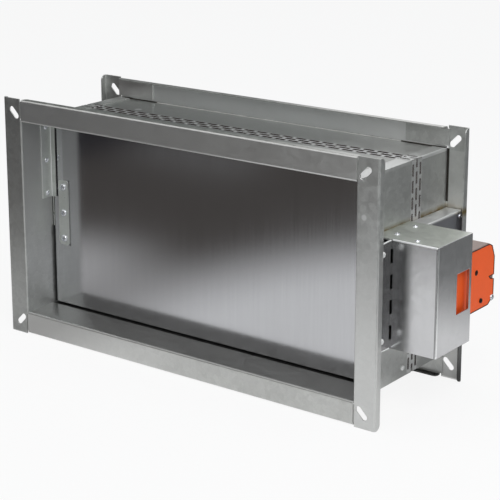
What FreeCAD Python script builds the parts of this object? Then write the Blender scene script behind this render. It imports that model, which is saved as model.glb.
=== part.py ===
"""Rectangular motor driven fire damper with a folded steel casing and one insulated blade.

Millimetres. X runs across the duct towards the drive side, Y runs with the air from the front
flange to the rear flange and Z is up. The origin is the centre of the front flange's opening.
"""
import FreeCAD, Part
import Sketcher
import math
import os
import re

doc = FreeCAD.newDocument("fire_damper")
sizes = doc.addObject("Spreadsheet::Sheet", "Sizes")

SIZES = {
    # casing
    "duct_width": (600, "clear width of the duct"),
    "duct_height": (300, "clear height of the duct"),
    "case_depth": (230, "front flange face to rear flange face"),
    "case_sheet": (1.5, "casing sheet"),
    "flange_width": (35, "duct opening to the flange's outer edge"),
    "lip_depth": (12, "stiffening lip folded back from the flange's outer edge"),
    "bend_radius": (1.5, "inner radius of the folds"),
    "lip_corner": (8, "corner radius of the posts' lips"),
    "flange_step": (1.5, "how much lower the cross flanges end than the posts"),
    "post_joint": (1.5, "open joint between a post and a cross flange"),
    "lap_width": (22, "part of a side wall that is folded over the top or bottom wall"),
    "lap_margin": (6, "end of a lap to the flange sheet"),
    "tab_length": (66, "corner tab behind the cross flange"),
    "tab_lift": (2, "corner tab above the lap"),
    "tab_drop": (5, "corner tab below the lip"),
    "slot_inset": (21.5, "outer edge to the centre of a corner slot, both ways"),
    "slot_length": (22, "corner slot from end to end"),
    "slot_width": (9, "corner slot, for an M8 bolt"),
    # thermal break: staggered rows of slits right round the casing
    "slit_front": (137, "front flange face to the first row"),
    "slit_row_pitch": (9.5, "row to row"),
    "slit_pitch": (23, "slit to slit along a row"),
    "slit_length": (16, "slit along the wall"),
    "slit_width": (3.2, "slit across"),
    "slit_margin": (4, "last slit to the duct corner, at least"),
    # blade
    "axis_depth": (77, "front flange face to the blade's axis"),
    "board_thickness": (28, "insulating board"),
    "skin_sheet": (0.75, "steel facing of the board"),
    "skin_return": (6, "edge of the facing folded round the board"),
    "blade_side_gap": (4.6, "duct wall to the end of the facing"),
    "blade_edge_gap": (3, "duct wall to the top or bottom edge of the facing"),
    "seal_gap": (1.4, "running gap between the edge seal and the duct"),
    "seal_notch_gap": (1.5, "edge seal clear of the bearing plate's corners"),
    "strap_width": (20, "hinge strap"),
    "strap_length": (102, "hinge strap"),
    "strap_sheet": (2, "hinge strap"),
    "strap_inset": (15, "duct wall to the hinge strap"),
    "strap_corner": (5, "corner radius of the hinge strap"),
    "strap_bolt_pitch": (41, "bolts of the hinge strap"),
    "bolt_neck": (5, "square shank of the bolts through the blade"),
    "bolt_head_diameter": (11.5, "bolt head"),
    "bolt_head_height": (3, "bolt head"),
    "nut_flats": (8, "nuts behind the rear strap"),
    "nut_height": (4, "nuts behind the rear strap"),
    # pivots
    "pin_diameter": (12, "pivot pin and drive shaft"),
    "pin_insert": (58, "pin inside the board"),
    "bearing_plate_height": (48, "bearing plate inside the duct"),
    "bearing_gap": (0.3, "bearing plate to the end of the blade"),
    "bearing_hub_diameter": (20, "bearing hub through the wall"),
    "bearing_reach": (6, "bearing hub outside the wall"),
    "running_gap": (0.05, "radial running clearance of the pins"),
    "clip_diameter": (30, "retaining clip on the bearing hub"),
    "clip_sheet": (1.2, "retaining clip"),
    "pin_overhang": (4, "left pin past its bearing"),
    "square_side": (10, "square end of the drive shaft"),
    # stops
    "stop_sheet": (1.5, "stop angles"),
    "stop_wall_leg": (22, "stop leg on the duct wall"),
    "stop_face_leg": (10, "stop leg that the blade closes on"),
    "stop_gap": (0.3, "closed blade to a stop"),
    "stop_end": (23, "blade axis to the end of a side stop"),
    "stop_joint": (1, "side stop to cross stop"),
    "rivet_head_diameter": (8, "rivet head"),
    "rivet_head_height": (1.6, "rivet head"),
    "rivet_inset": (11, "free edge of a stop's wall leg to its rivets"),
    "stop_rivet_start": (7, "inner end of a side stop to its first rivet"),
    "stop_rivet_end": (16, "outer end of a stop to its last rivet"),
    # strips that swell in a fire
    "strip_margin": (3, "strip beyond the slits that it lies behind"),
    "strip_thickness": (1.8, "strip on the top and the bottom wall"),
    "side_strip_thickness": (0.9, "strip on a side wall, which the blade's ends pass"),
    "strip_end_gap": (2, "end of a strip to the side wall"),
    # console and cover on the drive side
    "box_centre": (-6, "height of the cover's middle over the blade axis"),
    "console_height": (148, "console"),
    "console_reach": (28.3, "duct wall plane to the console's outer face"),
    "console_sheet": (1.5, "console"),
    "console_front": (43, "front flange face to the console's top and bottom"),
    "web_front": (12, "front flange face to the console's web"),
    "foot_width": (13, "console foot on the casing"),
    "foot_rivet_start": (14, "console's front edge to the first rivet of a foot"),
    "foot_rivet_pitch": (69, "rivets of a console foot"),
    "console_end_gap": (0.3, "console to the rear flange"),
    "hub_window": (44, "hole round the drive in the console"),
    "cover_sheet": (1.2, "cover"),
    "cover_bend": (1, "inner radius of the cover's folds"),
    "cover_reach": (99.2, "duct wall plane to the cover's outer face"),
    "cover_depth": (90, "cover along the duct"),
    "cover_front": (42, "front flange face to the cover's front"),
    "tab_front": (12.5, "front flange face to the cover's fixing tab"),
    "window_front": (50, "cover front to the window"),
    "window_length": (33, "window along the duct"),
    "window_height": (56, "window"),
    "fold_slot_length": (19.5, "slots along the cover's fold line"),
    "fold_slot_width": (3, "slots along the cover's fold line"),
    "fold_slot_pitch": (35, "slots along the cover's fold line"),
    "tab_screw_depth": (20, "front flange face to the tab's screws"),
    "tab_screw_spread": (119, "tab screw to tab screw"),
    "screw_neck": (3.2, "square shank of the cover's screws"),
    "screw_head_diameter": (8, "sheet screw head"),
    "screw_head_height": (2.6, "sheet screw head"),
    "cover_flange": (18, "inward flange of the cover under its top and bottom plates"),
    "cover_flange_gap": (3, "cover's inward flange to its sides"),
    "lid_rivet_inset": (6, "console's outer face to the rivets above it"),
    "lid_rivet_end": (20, "cover's rear to the nearest rivet of its top plate"),
    "lid_rivet_pitch": (46, "rivets of the top plate along the console"),
    "lid_rivet_reach": (32, "console's outer face to the rivet near the cover's front"),
    "lid_rivet_depth": (12.2, "cover's front to the rivet behind it"),
    # drive
    "drive_front": (47, "front flange face to the drive housing"),
    "drive_length": (163, "drive housing along the duct"),
    "drive_height": (88, "drive housing"),
    "drive_depth": (60.5, "drive housing"),
    "drive_gap": (0.2, "drive housing to the console"),
    "drive_clearance": (2, "cover's rear cut-out round the drive housing"),
    "drive_corner": (12, "chamfered corners of the housing"),
    "drive_rim": (0.8, "chamfer round the housing's outer edge"),
    "face_sheet": (1.4, "coloured face plate"),
    "face_inset": (0.8, "face plate inside the housing's outline"),
    "face_notch_depth": (13.5, "notch in the end of the face plate"),
    "face_notch_width": (7, "notch in the end of the face plate"),
    "sleeve_diameter": (26, "drive sleeve"),
    "sleeve_gap": (0.08, "radial gap of the drive sleeve in the housing"),
    "sleeve_proud": (1, "drive sleeve past the face plate"),
    "sleeve_fit": (0.06, "gap between the square of the shaft and the sleeve"),
    "shaft_proud": (1, "shaft past the sleeve"),
    "pointer_diameter": (22, "position pointer's hub"),
    "pointer_sheet": (1.2, "position pointer"),
    "pointer_length": (16, "axis to the tip of the pointer"),
    "pointer_width": (5, "position pointer's arm"),
    "face_screw_inset": (12, "housing's edges to the screws of the face plate"),
    "face_screw_end": (36, "housing's far end to its screw"),
    "face_screw_head": (7, "screws of the face plate"),
    "face_screw_height": (2.2, "screws of the face plate"),
    "release_end": (50, "housing's far end to the hand release"),
    "release_height": (11, "hand release over the middle of the housing"),
    "release_diameter": (6, "hole over the hand release"),
    "mount_screw_end": (30, "housing's far end to its mounting screws"),
    "mount_screw_spread": (56, "mounting screw to mounting screw"),
    "seam_width": (1.2, "parting line of the housing"),
    "seam_depth": (0.8, "parting line of the housing"),
    "grommet_inset": (14, "housing's back to the cable outlet"),
    "grommet_drop": (20, "cable outlet below the middle of the housing"),
    "grommet_seat": (6, "cable outlet inside the housing"),
    "grommet_diameter": (14, "cable outlet"),
    "grommet_reach": (5, "cable outlet past the housing"),
    "grommet_bore": (7, "cable outlet"),
    # thermal fuse
    "fuse_depth": (200, "front flange face to the thermal fuse"),
    "fuse_height": (-48, "height of the thermal fuse over the blade axis"),
    "fuse_body_diameter": (11, "thermal fuse body"),
    "fuse_body_length": (20, "thermal fuse body"),
    "fuse_probe_diameter": (5, "thermal fuse probe"),
    "fuse_probe_length": (12, "probe inside the duct"),
}

for row, (alias, (value, note)) in enumerate(SIZES.items(), start=1):
    sizes.set(f"A{row}", alias)
    sizes.set(f"B{row}", str(value))
    sizes.setAlias(f"B{row}", alias)
    sizes.set(f"C{row}", note)
doc.recompute()

LOWER = -1
UPPER = 1
LEFT = -1
RIGHT = 1
NORMAL = {"XY_Plane": 1, "XZ_Plane": -1, "YZ_Plane": 1}
made = []


def bound(expression):
    """The expression with every size's name pointing at its cell."""
    return re.sub(
        r"[a-z_]+", lambda m: f"Sizes.{m[0]}" if m[0] in SIZES else m[0], str(expression)
    )


def value_of(expression):
    return float(sizes.evalExpression(bound(expression)))


def new_body(label):
    body = doc.addObject("PartDesign::Body", label)
    body.Label = label
    made.append(body)
    return body


def origin_feature(body, role):
    return next(f for f in body.Origin.OriginFeatures if f.Role == role)


def new_sketch(body, name, plane, start):
    """A sketch parallel to one of the body's planes, at a distance start along +X, +Y or +Z."""
    sketch = body.newObject("Sketcher::SketchObject", name)
    sketch.AttachmentSupport = [(origin_feature(body, plane), "")]
    sketch.MapMode = "FlatFace"
    sketch.setExpression("AttachmentOffset.Base.z", bound(f"{NORMAL[plane]} * ({start})"))
    return sketch


def bind(sketch, constraint, expression):
    index = sketch.addConstraint(constraint)
    sketch.setExpression(f"Constraints[{index}]", bound(expression))


def place_point(sketch, geometry, end, x, y):
    for kind, expression in (("DistanceX", x), ("DistanceY", y)):
        bind(
            sketch,
            Sketcher.Constraint(kind, -1, 1, geometry, end, value_of(expression)),
            expression,
        )


def draw_loop(sketch, corners):
    """A closed outline of straight lines through corners, each a pair of expressions."""
    points = [FreeCAD.Vector(value_of(x), value_of(y), 0) for x, y in corners]
    lines = [
        sketch.addGeometry(Part.LineSegment(a, b), False)
        for a, b in zip(points, points[1:] + points[:1])
    ]
    for a, b in zip(lines, lines[1:] + lines[:1]):
        sketch.addConstraint(Sketcher.Constraint("Coincident", a, 2, b, 1))
    for line, (x, y) in zip(lines, corners):
        place_point(sketch, line, 1, x, y)


def draw_circle(sketch, x, y, diameter):
    centre = FreeCAD.Vector(value_of(x), value_of(y), 0)
    circle = Part.Circle(centre, FreeCAD.Vector(0, 0, 1), value_of(diameter) / 2)
    geometry = sketch.addGeometry(circle, False)
    place_point(sketch, geometry, 3, x, y)
    bind(
        sketch,
        Sketcher.Constraint("Diameter", geometry, value_of(diameter)),
        diameter,
    )


def rectangle(x0, x1, y0, y1):
    return [(x0, y0), (x1, y0), (x1, y1), (x0, y1)]


def centred(width, height, x="0", y="0"):
    return rectangle(
        f"{x} - {width} / 2", f"{x} + {width} / 2", f"{y} - {height} / 2", f"{y} + {height} / 2"
    )


def extrude(body, kind, name, plane, start, length, loops=(), circles=()):
    sketch = new_sketch(body, name + "_sketch", plane, start)
    for corners in loops:
        draw_loop(sketch, corners)
    for circle in circles:
        draw_circle(sketch, *circle)
    feature = body.newObject(kind, name)
    feature.Profile = sketch
    feature.setExpression("Length", bound(length))
    along_normal = NORMAL[plane] > 0
    feature.Reversed = along_normal if kind == "PartDesign::Pocket" else not along_normal
    return feature


def pad(body, name, plane, start, length, loops=(), circles=()):
    """Material from start to start + length along the plane's positive axis."""
    return extrude(body, "PartDesign::Pad", name, plane, start, length, loops, circles)


def cut(body, name, plane, start, length, loops=(), circles=()):
    """A pocket from start to start + length along the plane's positive axis."""
    return extrude(body, "PartDesign::Pocket", name, plane, start, length, loops, circles)


def repeat(body, name, feature, axis, pitch, count):
    pattern = body.newObject("PartDesign::LinearPattern", name)
    pattern.Originals = [feature]
    pattern.Direction = (feature.Profile[0], [axis])
    pattern.Mode = "Spacing"
    pattern.setExpression("Offset", bound(pitch))
    pattern.setExpression("Occurrences", bound(count))
    body.Tip = pattern
    return pattern


def mirror(body, name, features, plane):
    copy = body.newObject("PartDesign::Mirrored", name)
    copy.Originals = features
    copy.MirrorPlane = (origin_feature(body, plane), [""])
    body.Tip = copy
    return copy


def straight_edges(shape, along, **where):
    """Names of the straight edges that run along one axis at the given places on the others."""
    names = []
    for number, edge in enumerate(shape.Edges, start=1):
        if not isinstance(edge.Curve, Part.Line):
            continue
        if abs(getattr(edge.Curve.Direction, along)) < 0.999:
            continue
        middle = edge.CenterOfMass
        if all(
            min(abs(getattr(middle, axis) - value_of(place)) for place in places) < 0.01
            for axis, places in where.items()
        ):
            names.append(f"Edge{number}")
    return names


def round_edges(body, name, radius, *groups):
    """A fillet on the edges that each group (axis, {axis: places}) names."""
    doc.recompute()
    base = body.Tip
    edges = []
    for along, where in groups:
        found = straight_edges(base.Shape, along, **where)
        if not found:
            raise RuntimeError(f"{body.Label}: no edge for {name} at {where}")
        edges += found
    fillet = body.newObject("PartDesign::Fillet", name)
    fillet.Base = (base, edges)
    fillet.setExpression("Radius", bound(radius))
    return fillet


def group(label, solids):
    """One node that holds several separate solids."""
    feature = doc.addObject("Part::Feature", label)
    feature.Label = label
    feature.Shape = Part.makeCompound(solids)
    made.append(feature)
    return feature


def polygon(sides, radius, level):
    """Corners of a regular polygon round the Z axis, at a height."""
    return [
        FreeCAD.Vector(
            radius * math.cos(2 * math.pi * n / sides),
            radius * math.sin(2 * math.pi * n / sides),
            level,
        )
        for n in range(sides)
    ]


def flat_face(corners):
    return Part.Face(Part.makePolygon(corners + corners[:1]))


def faceted(outlines):
    """A solid with flat sides between polygons that lie one above the other."""
    faces = [flat_face(outlines[0]), flat_face(outlines[-1])]
    for low, high in zip(outlines, outlines[1:]):
        for n in range(len(low)):
            m = (n + 1) % len(low)
            faces.append(flat_face([low[n], low[m], high[m], high[n]]))
    return Part.makeSolid(Part.makeShell(faces))


def fastener_head(diameter, height, place, direction, sides=8, neck=0, length=0):
    """A domed head with few faces that stands on place. A square neck may run back from it."""
    levels = ((1, 0), (0.95, height / 2), (0.55, height))
    solid = faceted([polygon(sides, share * diameter / 2, level) for share, level in levels])
    if neck:
        corner = FreeCAD.Vector(-neck / 2, -neck / 2, -length)
        solid = solid.fuse(Part.makeBox(neck, neck, length, corner)).removeSplitter()
    turn = FreeCAD.Rotation(FreeCAD.Vector(0, 0, 1), FreeCAD.Vector(*direction))
    solid.Placement = FreeCAD.Placement(FreeCAD.Vector(*place), turn)
    return solid


def places_of(pairs):
    return [tuple(value_of(part) for part in pair) for pair in pairs]


# places that several pieces share
WALL = "duct_width / 2"
ROOF = "duct_height / 2"
POST_EDGE = "(duct_width / 2 + flange_width)"
POST_TOP = "(duct_height / 2 + flange_width)"
BLADE_FRONT = "(axis_depth - board_thickness / 2 - skin_sheet)"
BLADE_REAR = "(axis_depth + board_thickness / 2 + skin_sheet)"
PLATE_WIDTH = "(board_thickness + 2 * skin_sheet)"
PLATE_DIAGONAL = f"sqrt({PLATE_WIDTH} ^ 2 + bearing_plate_height ^ 2)"
BLADE_END = "(duct_width / 2 - blade_side_gap)"
BLADE_EDGE = "(duct_height / 2 - blade_edge_gap)"
SLITS_ALONG = "(floor((duct_width - 2 * slit_margin - slit_length) / slit_pitch) + 1)"
SLITS_UP = "(floor((duct_height - 2 * slit_margin - slit_length) / slit_pitch) + 1)"
CONSOLE_FACE = "(duct_width / 2 + console_reach)"
CONSOLE_TOP = "(box_centre + console_height / 2)"
CONSOLE_BOTTOM = "(box_centre - console_height / 2)"
COVER_FACE = "(duct_width / 2 + cover_reach)"
COVER_REAR = "(cover_front + cover_depth)"
DRIVE_BACK = "(duct_width / 2 + console_reach + drive_gap)"
DRIVE_FACE = f"({DRIVE_BACK} + drive_depth)"
DRIVE_END = "(drive_front + drive_length)"
STRAP_CENTRE = "(duct_width / 2 - strap_inset - strap_width / 2)"

FRONT_STOP_LINE = f"({BLADE_FRONT} - stop_gap - stop_wall_leg + rivet_inset)"
REAR_STOP_LINE = f"({BLADE_REAR} + stop_gap + stop_wall_leg - rivet_inset)"
SIDE_STOP_RIVETS = [
    f"({share} * (stop_end + stop_rivet_start) + (1 - {share}) * ({ROOF} - stop_rivet_end))"
    for share in (1, 0.5, 0)
]
CROSS_STOP_RIVETS = [
    f"({share} * (duct_width / 2 - stop_face_leg - stop_joint - stop_rivet_end))"
    for share in ("-1", "-1 / 3", "1 / 3", "1")
]
FOOT_HEIGHTS = [
    f"({CONSOLE_TOP} - console_sheet - foot_width / 2)",
    f"({CONSOLE_BOTTOM} + console_sheet + foot_width / 2)",
]
FOOT_DEPTHS = [f"(console_front + foot_rivet_start + {n} * foot_rivet_pitch)" for n in range(3)]


def slits(place, rows, across):
    """One slit for each row, all at the same place along the wall."""
    loops = []
    for row in rows:
        depth = f"(slit_front + {row} * slit_row_pitch)"
        if across:
            loops.append(centred("slit_width", "slit_length", depth, place))
        else:
            loops.append(centred("slit_length", "slit_width", place, depth))
    return loops


def perforate(body, plane, start, count, across, axis):
    """Three staggered rows: the outer rows in step, the middle row half a pitch further out."""
    first = f"(-({count} - 1) * slit_pitch / 2)"
    outer = cut(body, "outer_slits", plane, start, "4", slits(first, (0, 2), across))
    repeat(body, "outer_slit_rows", outer, axis, "slit_pitch", count)
    first = f"(-{count} * slit_pitch / 2)"
    middle = cut(body, "middle_slits", plane, start, "4", slits(first, (1,), across))
    repeat(body, "middle_slit_row", middle, axis, "slit_pitch", f"{count} + 1")


def lap_slits(body, side):
    """The cross wall's last slits go through the lap as well, one of them across the fold."""
    loops = slits(f"{side} * ({SLITS_ALONG} - 1) * slit_pitch / 2", (0, 2), False)
    for back in (0, 1):
        loops += slits(f"{side} * ({SLITS_ALONG} - 2 * {back}) * slit_pitch / 2", (1,), False)
    return cut(
        body, "lap_slits", "XY_Plane", f"({ROOF} + case_sheet - 0.5)", "case_sheet + 1", loops
    )


def side_wall(label, side):
    """Side wall in one sheet with both flange posts, their lips, the laps and the corner tabs."""
    body = new_body(label)
    inner = f"{side} * ({WALL})"
    outer = f"{side} * ({WALL} + case_sheet)"
    edge = f"{side} * {POST_EDGE}"
    edge_inside = f"{side} * ({POST_EDGE} - case_sheet)"
    section = [
        (inner, "0"),
        (edge, "0"),
        (edge, "lip_depth"),
        (edge_inside, "lip_depth"),
        (edge_inside, "case_sheet"),
        (outer, "case_sheet"),
        (outer, "case_depth - case_sheet"),
        (edge_inside, "case_depth - case_sheet"),
        (edge_inside, "case_depth - lip_depth"),
        (edge, "case_depth - lip_depth"),
        (edge, "case_depth"),
        (inner, "case_depth"),
    ]
    pad(body, "section", "XY_Plane", f"-{POST_TOP}", f"2 * {POST_TOP}", [section])
    round_edges(
        body,
        "outer_bends",
        "bend_radius + case_sheet",
        ("z", {"x": [inner, edge], "y": ["0", "case_depth"]}),
    )
    round_edges(
        body,
        "inner_bends",
        "bend_radius",
        ("z", {"x": [outer, edge_inside], "y": ["case_sheet", "case_depth - case_sheet"]}),
    )
    over_roof = f"({ROOF} + 2 * case_sheet)"
    trims = [
        cut(
            body,
            "wall_end",
            "XY_Plane",
            over_roof,
            "flange_width",
            [
                rectangle(
                    f"{side} * ({WALL} - 1)",
                    f"{side} * ({WALL} + case_sheet + post_joint / 2)",
                    "-1",
                    "case_depth + 1",
                )
            ],
        )
    ]
    trims.append(
        pad(
            body,
            "lap",
            "XY_Plane",
            f"({ROOF} + case_sheet)",
            "case_sheet",
            [
                rectangle(
                    f"{side} * ({WALL} + case_sheet - lap_width)",
                    outer,
                    "lap_margin",
                    "case_depth - lap_margin",
                )
            ],
        )
    )
    tab_rows = [
        ("front_tab", "case_sheet"),
        ("rear_tab", "(case_depth - 2 * case_sheet)"),
    ]
    for name, depth in tab_rows:
        trims.append(
            pad(
                body,
                name,
                "XZ_Plane",
                depth,
                "case_sheet",
                [
                    rectangle(
                        f"{side} * ({WALL} - tab_length)",
                        f"{side} * ({WALL} + 2 * case_sheet + post_joint)",
                        f"{over_roof} + tab_lift",
                        f"{POST_TOP} - tab_drop",
                    )
                ],
            )
        )
    trims.append(lap_slits(body, side))
    trims.append(corner_slot(body, side))
    mirror(body, "lower_half", trims, "XY_Plane")
    round_edges(
        body,
        "lip_ends",
        "lip_corner",
        (
            "x",
            {
                "y": ["lip_depth", "case_depth - lip_depth"],
                "z": [POST_TOP, f"-{POST_TOP}"],
            },
        ),
    )
    perforate(body, "YZ_Plane", f"{side} * ({WALL} + 1) - 2", SLITS_UP, True, "V_Axis")
    return body


def corner_slot(body, side):
    """One slot through both flanges, on the diagonal that points at the duct's centre."""
    sketch = new_sketch(body, "corner_slot_sketch", "XZ_Plane", "-1")
    x = f"{side} * ({POST_EDGE} - slot_inset)"
    z = f"({POST_TOP} - slot_inset)"
    run = "(slot_length - slot_width) / 2 * sqrt(0.5)"
    ends = [(f"{x} + {side} * {run} * {end}", f"{z} + {run} * {end}") for end in (-1, 1)]
    radius = value_of("slot_width / 2")
    centres = [FreeCAD.Vector(value_of(a), value_of(b), 0) for a, b in ends]
    along = (centres[1] - centres[0]).normalize()
    across = FreeCAD.Vector(-along.y, along.x, 0) * radius
    tip = FreeCAD.Vector(0, 0, 1)
    turn = across.getAngle(FreeCAD.Vector(1, 0, 0))
    start = turn if across.y >= 0 else -turn
    half_turn = 3.141592653589793
    arcs = [
        Part.ArcOfCircle(Part.Circle(centres[0], tip, radius), start, start + half_turn),
        Part.ArcOfCircle(Part.Circle(centres[1], tip, radius), start - half_turn, start),
    ]
    inner_arc, outer_arc = [sketch.addGeometry(arc, False) for arc in arcs]
    lines = [
        sketch.addGeometry(Part.LineSegment(centres[0] - across, centres[1] - across), False),
        sketch.addGeometry(Part.LineSegment(centres[1] + across, centres[0] + across), False),
    ]
    for first, first_end, second, second_end in (
        (inner_arc, 2, lines[0], 1),
        (lines[0], 2, outer_arc, 1),
        (outer_arc, 2, lines[1], 1),
        (lines[1], 2, inner_arc, 1),
    ):
        sketch.addConstraint(
            Sketcher.Constraint("Tangent", first, first_end, second, second_end)
        )
    for arc, (a, b) in zip((inner_arc, outer_arc), ends):
        place_point(sketch, arc, 3, a, b)
    bind(sketch, Sketcher.Constraint("Radius", inner_arc, radius), "slot_width / 2")
    pocket = body.newObject("PartDesign::Pocket", "corner_slot")
    pocket.Profile = sketch
    pocket.setExpression("Length", bound("case_depth + 2"))
    return pocket


def cross_wall(label, side):
    """Top or bottom wall in one sheet with both cross flanges and their lips."""
    body = new_body(label)
    inner = f"{side} * ({ROOF})"
    outer = f"{side} * ({ROOF} + case_sheet)"
    edge = f"{side} * ({POST_TOP} - flange_step)"
    edge_inside = f"{side} * ({POST_TOP} - flange_step - case_sheet)"
    section = [
        ("0", inner),
        ("0", edge),
        ("lip_depth", edge),
        ("lip_depth", edge_inside),
        ("case_sheet", edge_inside),
        ("case_sheet", outer),
        ("case_depth - case_sheet", outer),
        ("case_depth - case_sheet", edge_inside),
        ("case_depth - lip_depth", edge_inside),
        ("case_depth - lip_depth", edge),
        ("case_depth", edge),
        ("case_depth", inner),
    ]
    pad(body, "section", "YZ_Plane", f"-{WALL}", "duct_width", [section])
    round_edges(
        body,
        "outer_bends",
        "bend_radius + case_sheet",
        ("x", {"y": ["0", "case_depth"], "z": [inner, edge]}),
    )
    round_edges(
        body,
        "inner_bends",
        "bend_radius",
        ("x", {"y": ["case_sheet", "case_depth - case_sheet"], "z": [outer, edge_inside]}),
    )
    round_edges(
        body,
        "lip_ends",
        "lip_depth / 2",
        (
            "z",
            {
                "x": [f"-{WALL}", WALL],
                "y": ["lip_depth", "case_depth - lip_depth"],
            },
        ),
    )
    perforate(body, "XY_Plane", f"{side} * ({ROOF} + 1) - 2", SLITS_ALONG, False, "H_Axis")
    return body


def casing():
    left = side_wall("casing_left", LEFT)
    right = side_wall("casing_right", RIGHT)
    cross_wall("casing_top", UPPER)
    cross_wall("casing_bottom", LOWER)
    for body, side in ((left, LEFT), (right, RIGHT)):
        holes = [("axis_depth", "0", "bearing_hub_diameter")]
        if side == RIGHT:
            holes.append(("fuse_depth", "fuse_height", "fuse_probe_diameter"))
        start = f"{side} * ({WALL} + 1) - 2"
        cut(body, "wall_holes", "YZ_Plane", start, "4", circles=holes)


def stop_section(side, upper, wall, plane):
    """L section: one leg on the wall, the other across the blade's face."""
    face = f"({BLADE_FRONT} - stop_gap)" if upper else f"({BLADE_REAR} + stop_gap)"
    out = "-" if upper else "+"
    points = [
        (wall, face),
        (f"({wall} - {side} * stop_face_leg)", face),
        (f"({wall} - {side} * stop_face_leg)", f"({face} {out} stop_sheet)"),
        (f"({wall} - {side} * stop_sheet)", f"({face} {out} stop_sheet)"),
        (f"({wall} - {side} * stop_sheet)", f"({face} {out} stop_wall_leg)"),
        (wall, f"({face} {out} stop_wall_leg)"),
    ]
    if plane == "YZ_Plane":
        points = [(b, a) for a, b in points]
    return points


def stops():
    """Upper stops stand before the blade and lower ones behind it, so it turns one way only."""
    for side, name in ((LEFT, "left"), (RIGHT, "right")):
        wall = f"{side} * {WALL}"
        for upper, level in ((True, "upper"), (False, "lower")):
            body = new_body(f"stop_{level}_{name}")
            start = "stop_end" if upper else f"-{ROOF}"
            section = stop_section(side, upper, wall, "XY_Plane")
            pad(body, "angle", "XY_Plane", start, f"{ROOF} - stop_end", [section])
            bend_stop(body, side, upper, wall, "x", "z")
    for upper, name in ((True, "stop_top"), (False, "stop_bottom")):
        side = UPPER if upper else LOWER
        wall = f"{side} * {ROOF}"
        body = new_body(name)
        reach = "(duct_width / 2 - stop_face_leg - stop_joint)"
        section = stop_section(side, upper, wall, "YZ_Plane")
        pad(body, "angle", "YZ_Plane", f"-{reach}", f"2 * {reach}", [section])
        bend_stop(body, side, upper, wall, "z", "x")


def bend_stop(body, side, upper, wall, across, along):
    face = f"({BLADE_FRONT} - stop_gap)" if upper else f"({BLADE_REAR} + stop_gap)"
    out = "-" if upper else "+"
    inner = {across: [f"{wall} - {side} * stop_sheet"], "y": [f"{face} {out} stop_sheet"]}
    round_edges(body, "inner_bend", "bend_radius", (along, inner))
    outer = {across: [wall], "y": [face]}
    round_edges(body, "outer_bend", "bend_radius + stop_sheet", (along, outer))


def stop_rivets():
    """Rivet heads stand on the stops inside the duct."""
    head = [value_of("rivet_head_diameter"), value_of("rivet_head_height")]
    solids = []
    for side in (LEFT, RIGHT):
        x = side * value_of(f"{WALL} - stop_sheet")
        for height in SIDE_STOP_RIVETS:
            z = value_of(height)
            for line, up in ((FRONT_STOP_LINE, 1), (REAR_STOP_LINE, -1)):
                solids.append(fastener_head(*head, (x, value_of(line), up * z), (-side, 0, 0)))
    for side, line in ((UPPER, FRONT_STOP_LINE), (LOWER, REAR_STOP_LINE)):
        z = side * value_of(f"{ROOF} - stop_sheet")
        for x in CROSS_STOP_RIVETS:
            solids.append(fastener_head(*head, (value_of(x), value_of(line), z), (0, 0, -side)))
    group("stop_rivets", solids)


def intumescent_strips():
    """Strips on the inside of the four walls, behind the slits of the thermal break."""
    front = "(slit_front - slit_width / 2 - strip_margin)"
    width = "(2 * slit_row_pitch + slit_width + 2 * strip_margin)"
    reach = "(duct_width / 2 - strip_end_gap)"
    for upper, name in ((True, "intumescent_strip_top"), (False, "intumescent_strip_bottom")):
        strip = new_body(name)
        low = f"({ROOF} - strip_thickness)" if upper else f"-{ROOF}"
        outline = rectangle(f"-{reach}", reach, front, f"{front} + {width}")
        pad(strip, "strip", "XY_Plane", low, "strip_thickness", [outline])
    reach = "(duct_height / 2 - strip_end_gap)"
    for side, name in ((LEFT, "intumescent_strip_left"), (RIGHT, "intumescent_strip_right")):
        strip = new_body(name)
        low = f"-{WALL}" if side == LEFT else f"({WALL} - side_strip_thickness)"
        outline = rectangle(front, f"{front} + {width}", f"-{reach}", reach)
        pad(strip, "strip", "YZ_Plane", low, "side_strip_thickness", [outline])


def bolt_places(side):
    x = f"{side} * {STRAP_CENTRE}"
    return [(x, f"{n} * strap_bolt_pitch") for n in (-1, 0, 1)]


def bolt_passages():
    return [
        centred("bolt_neck", "bolt_neck", x, z)
        for side in (LEFT, RIGHT)
        for x, z in bolt_places(side)
    ]


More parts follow.
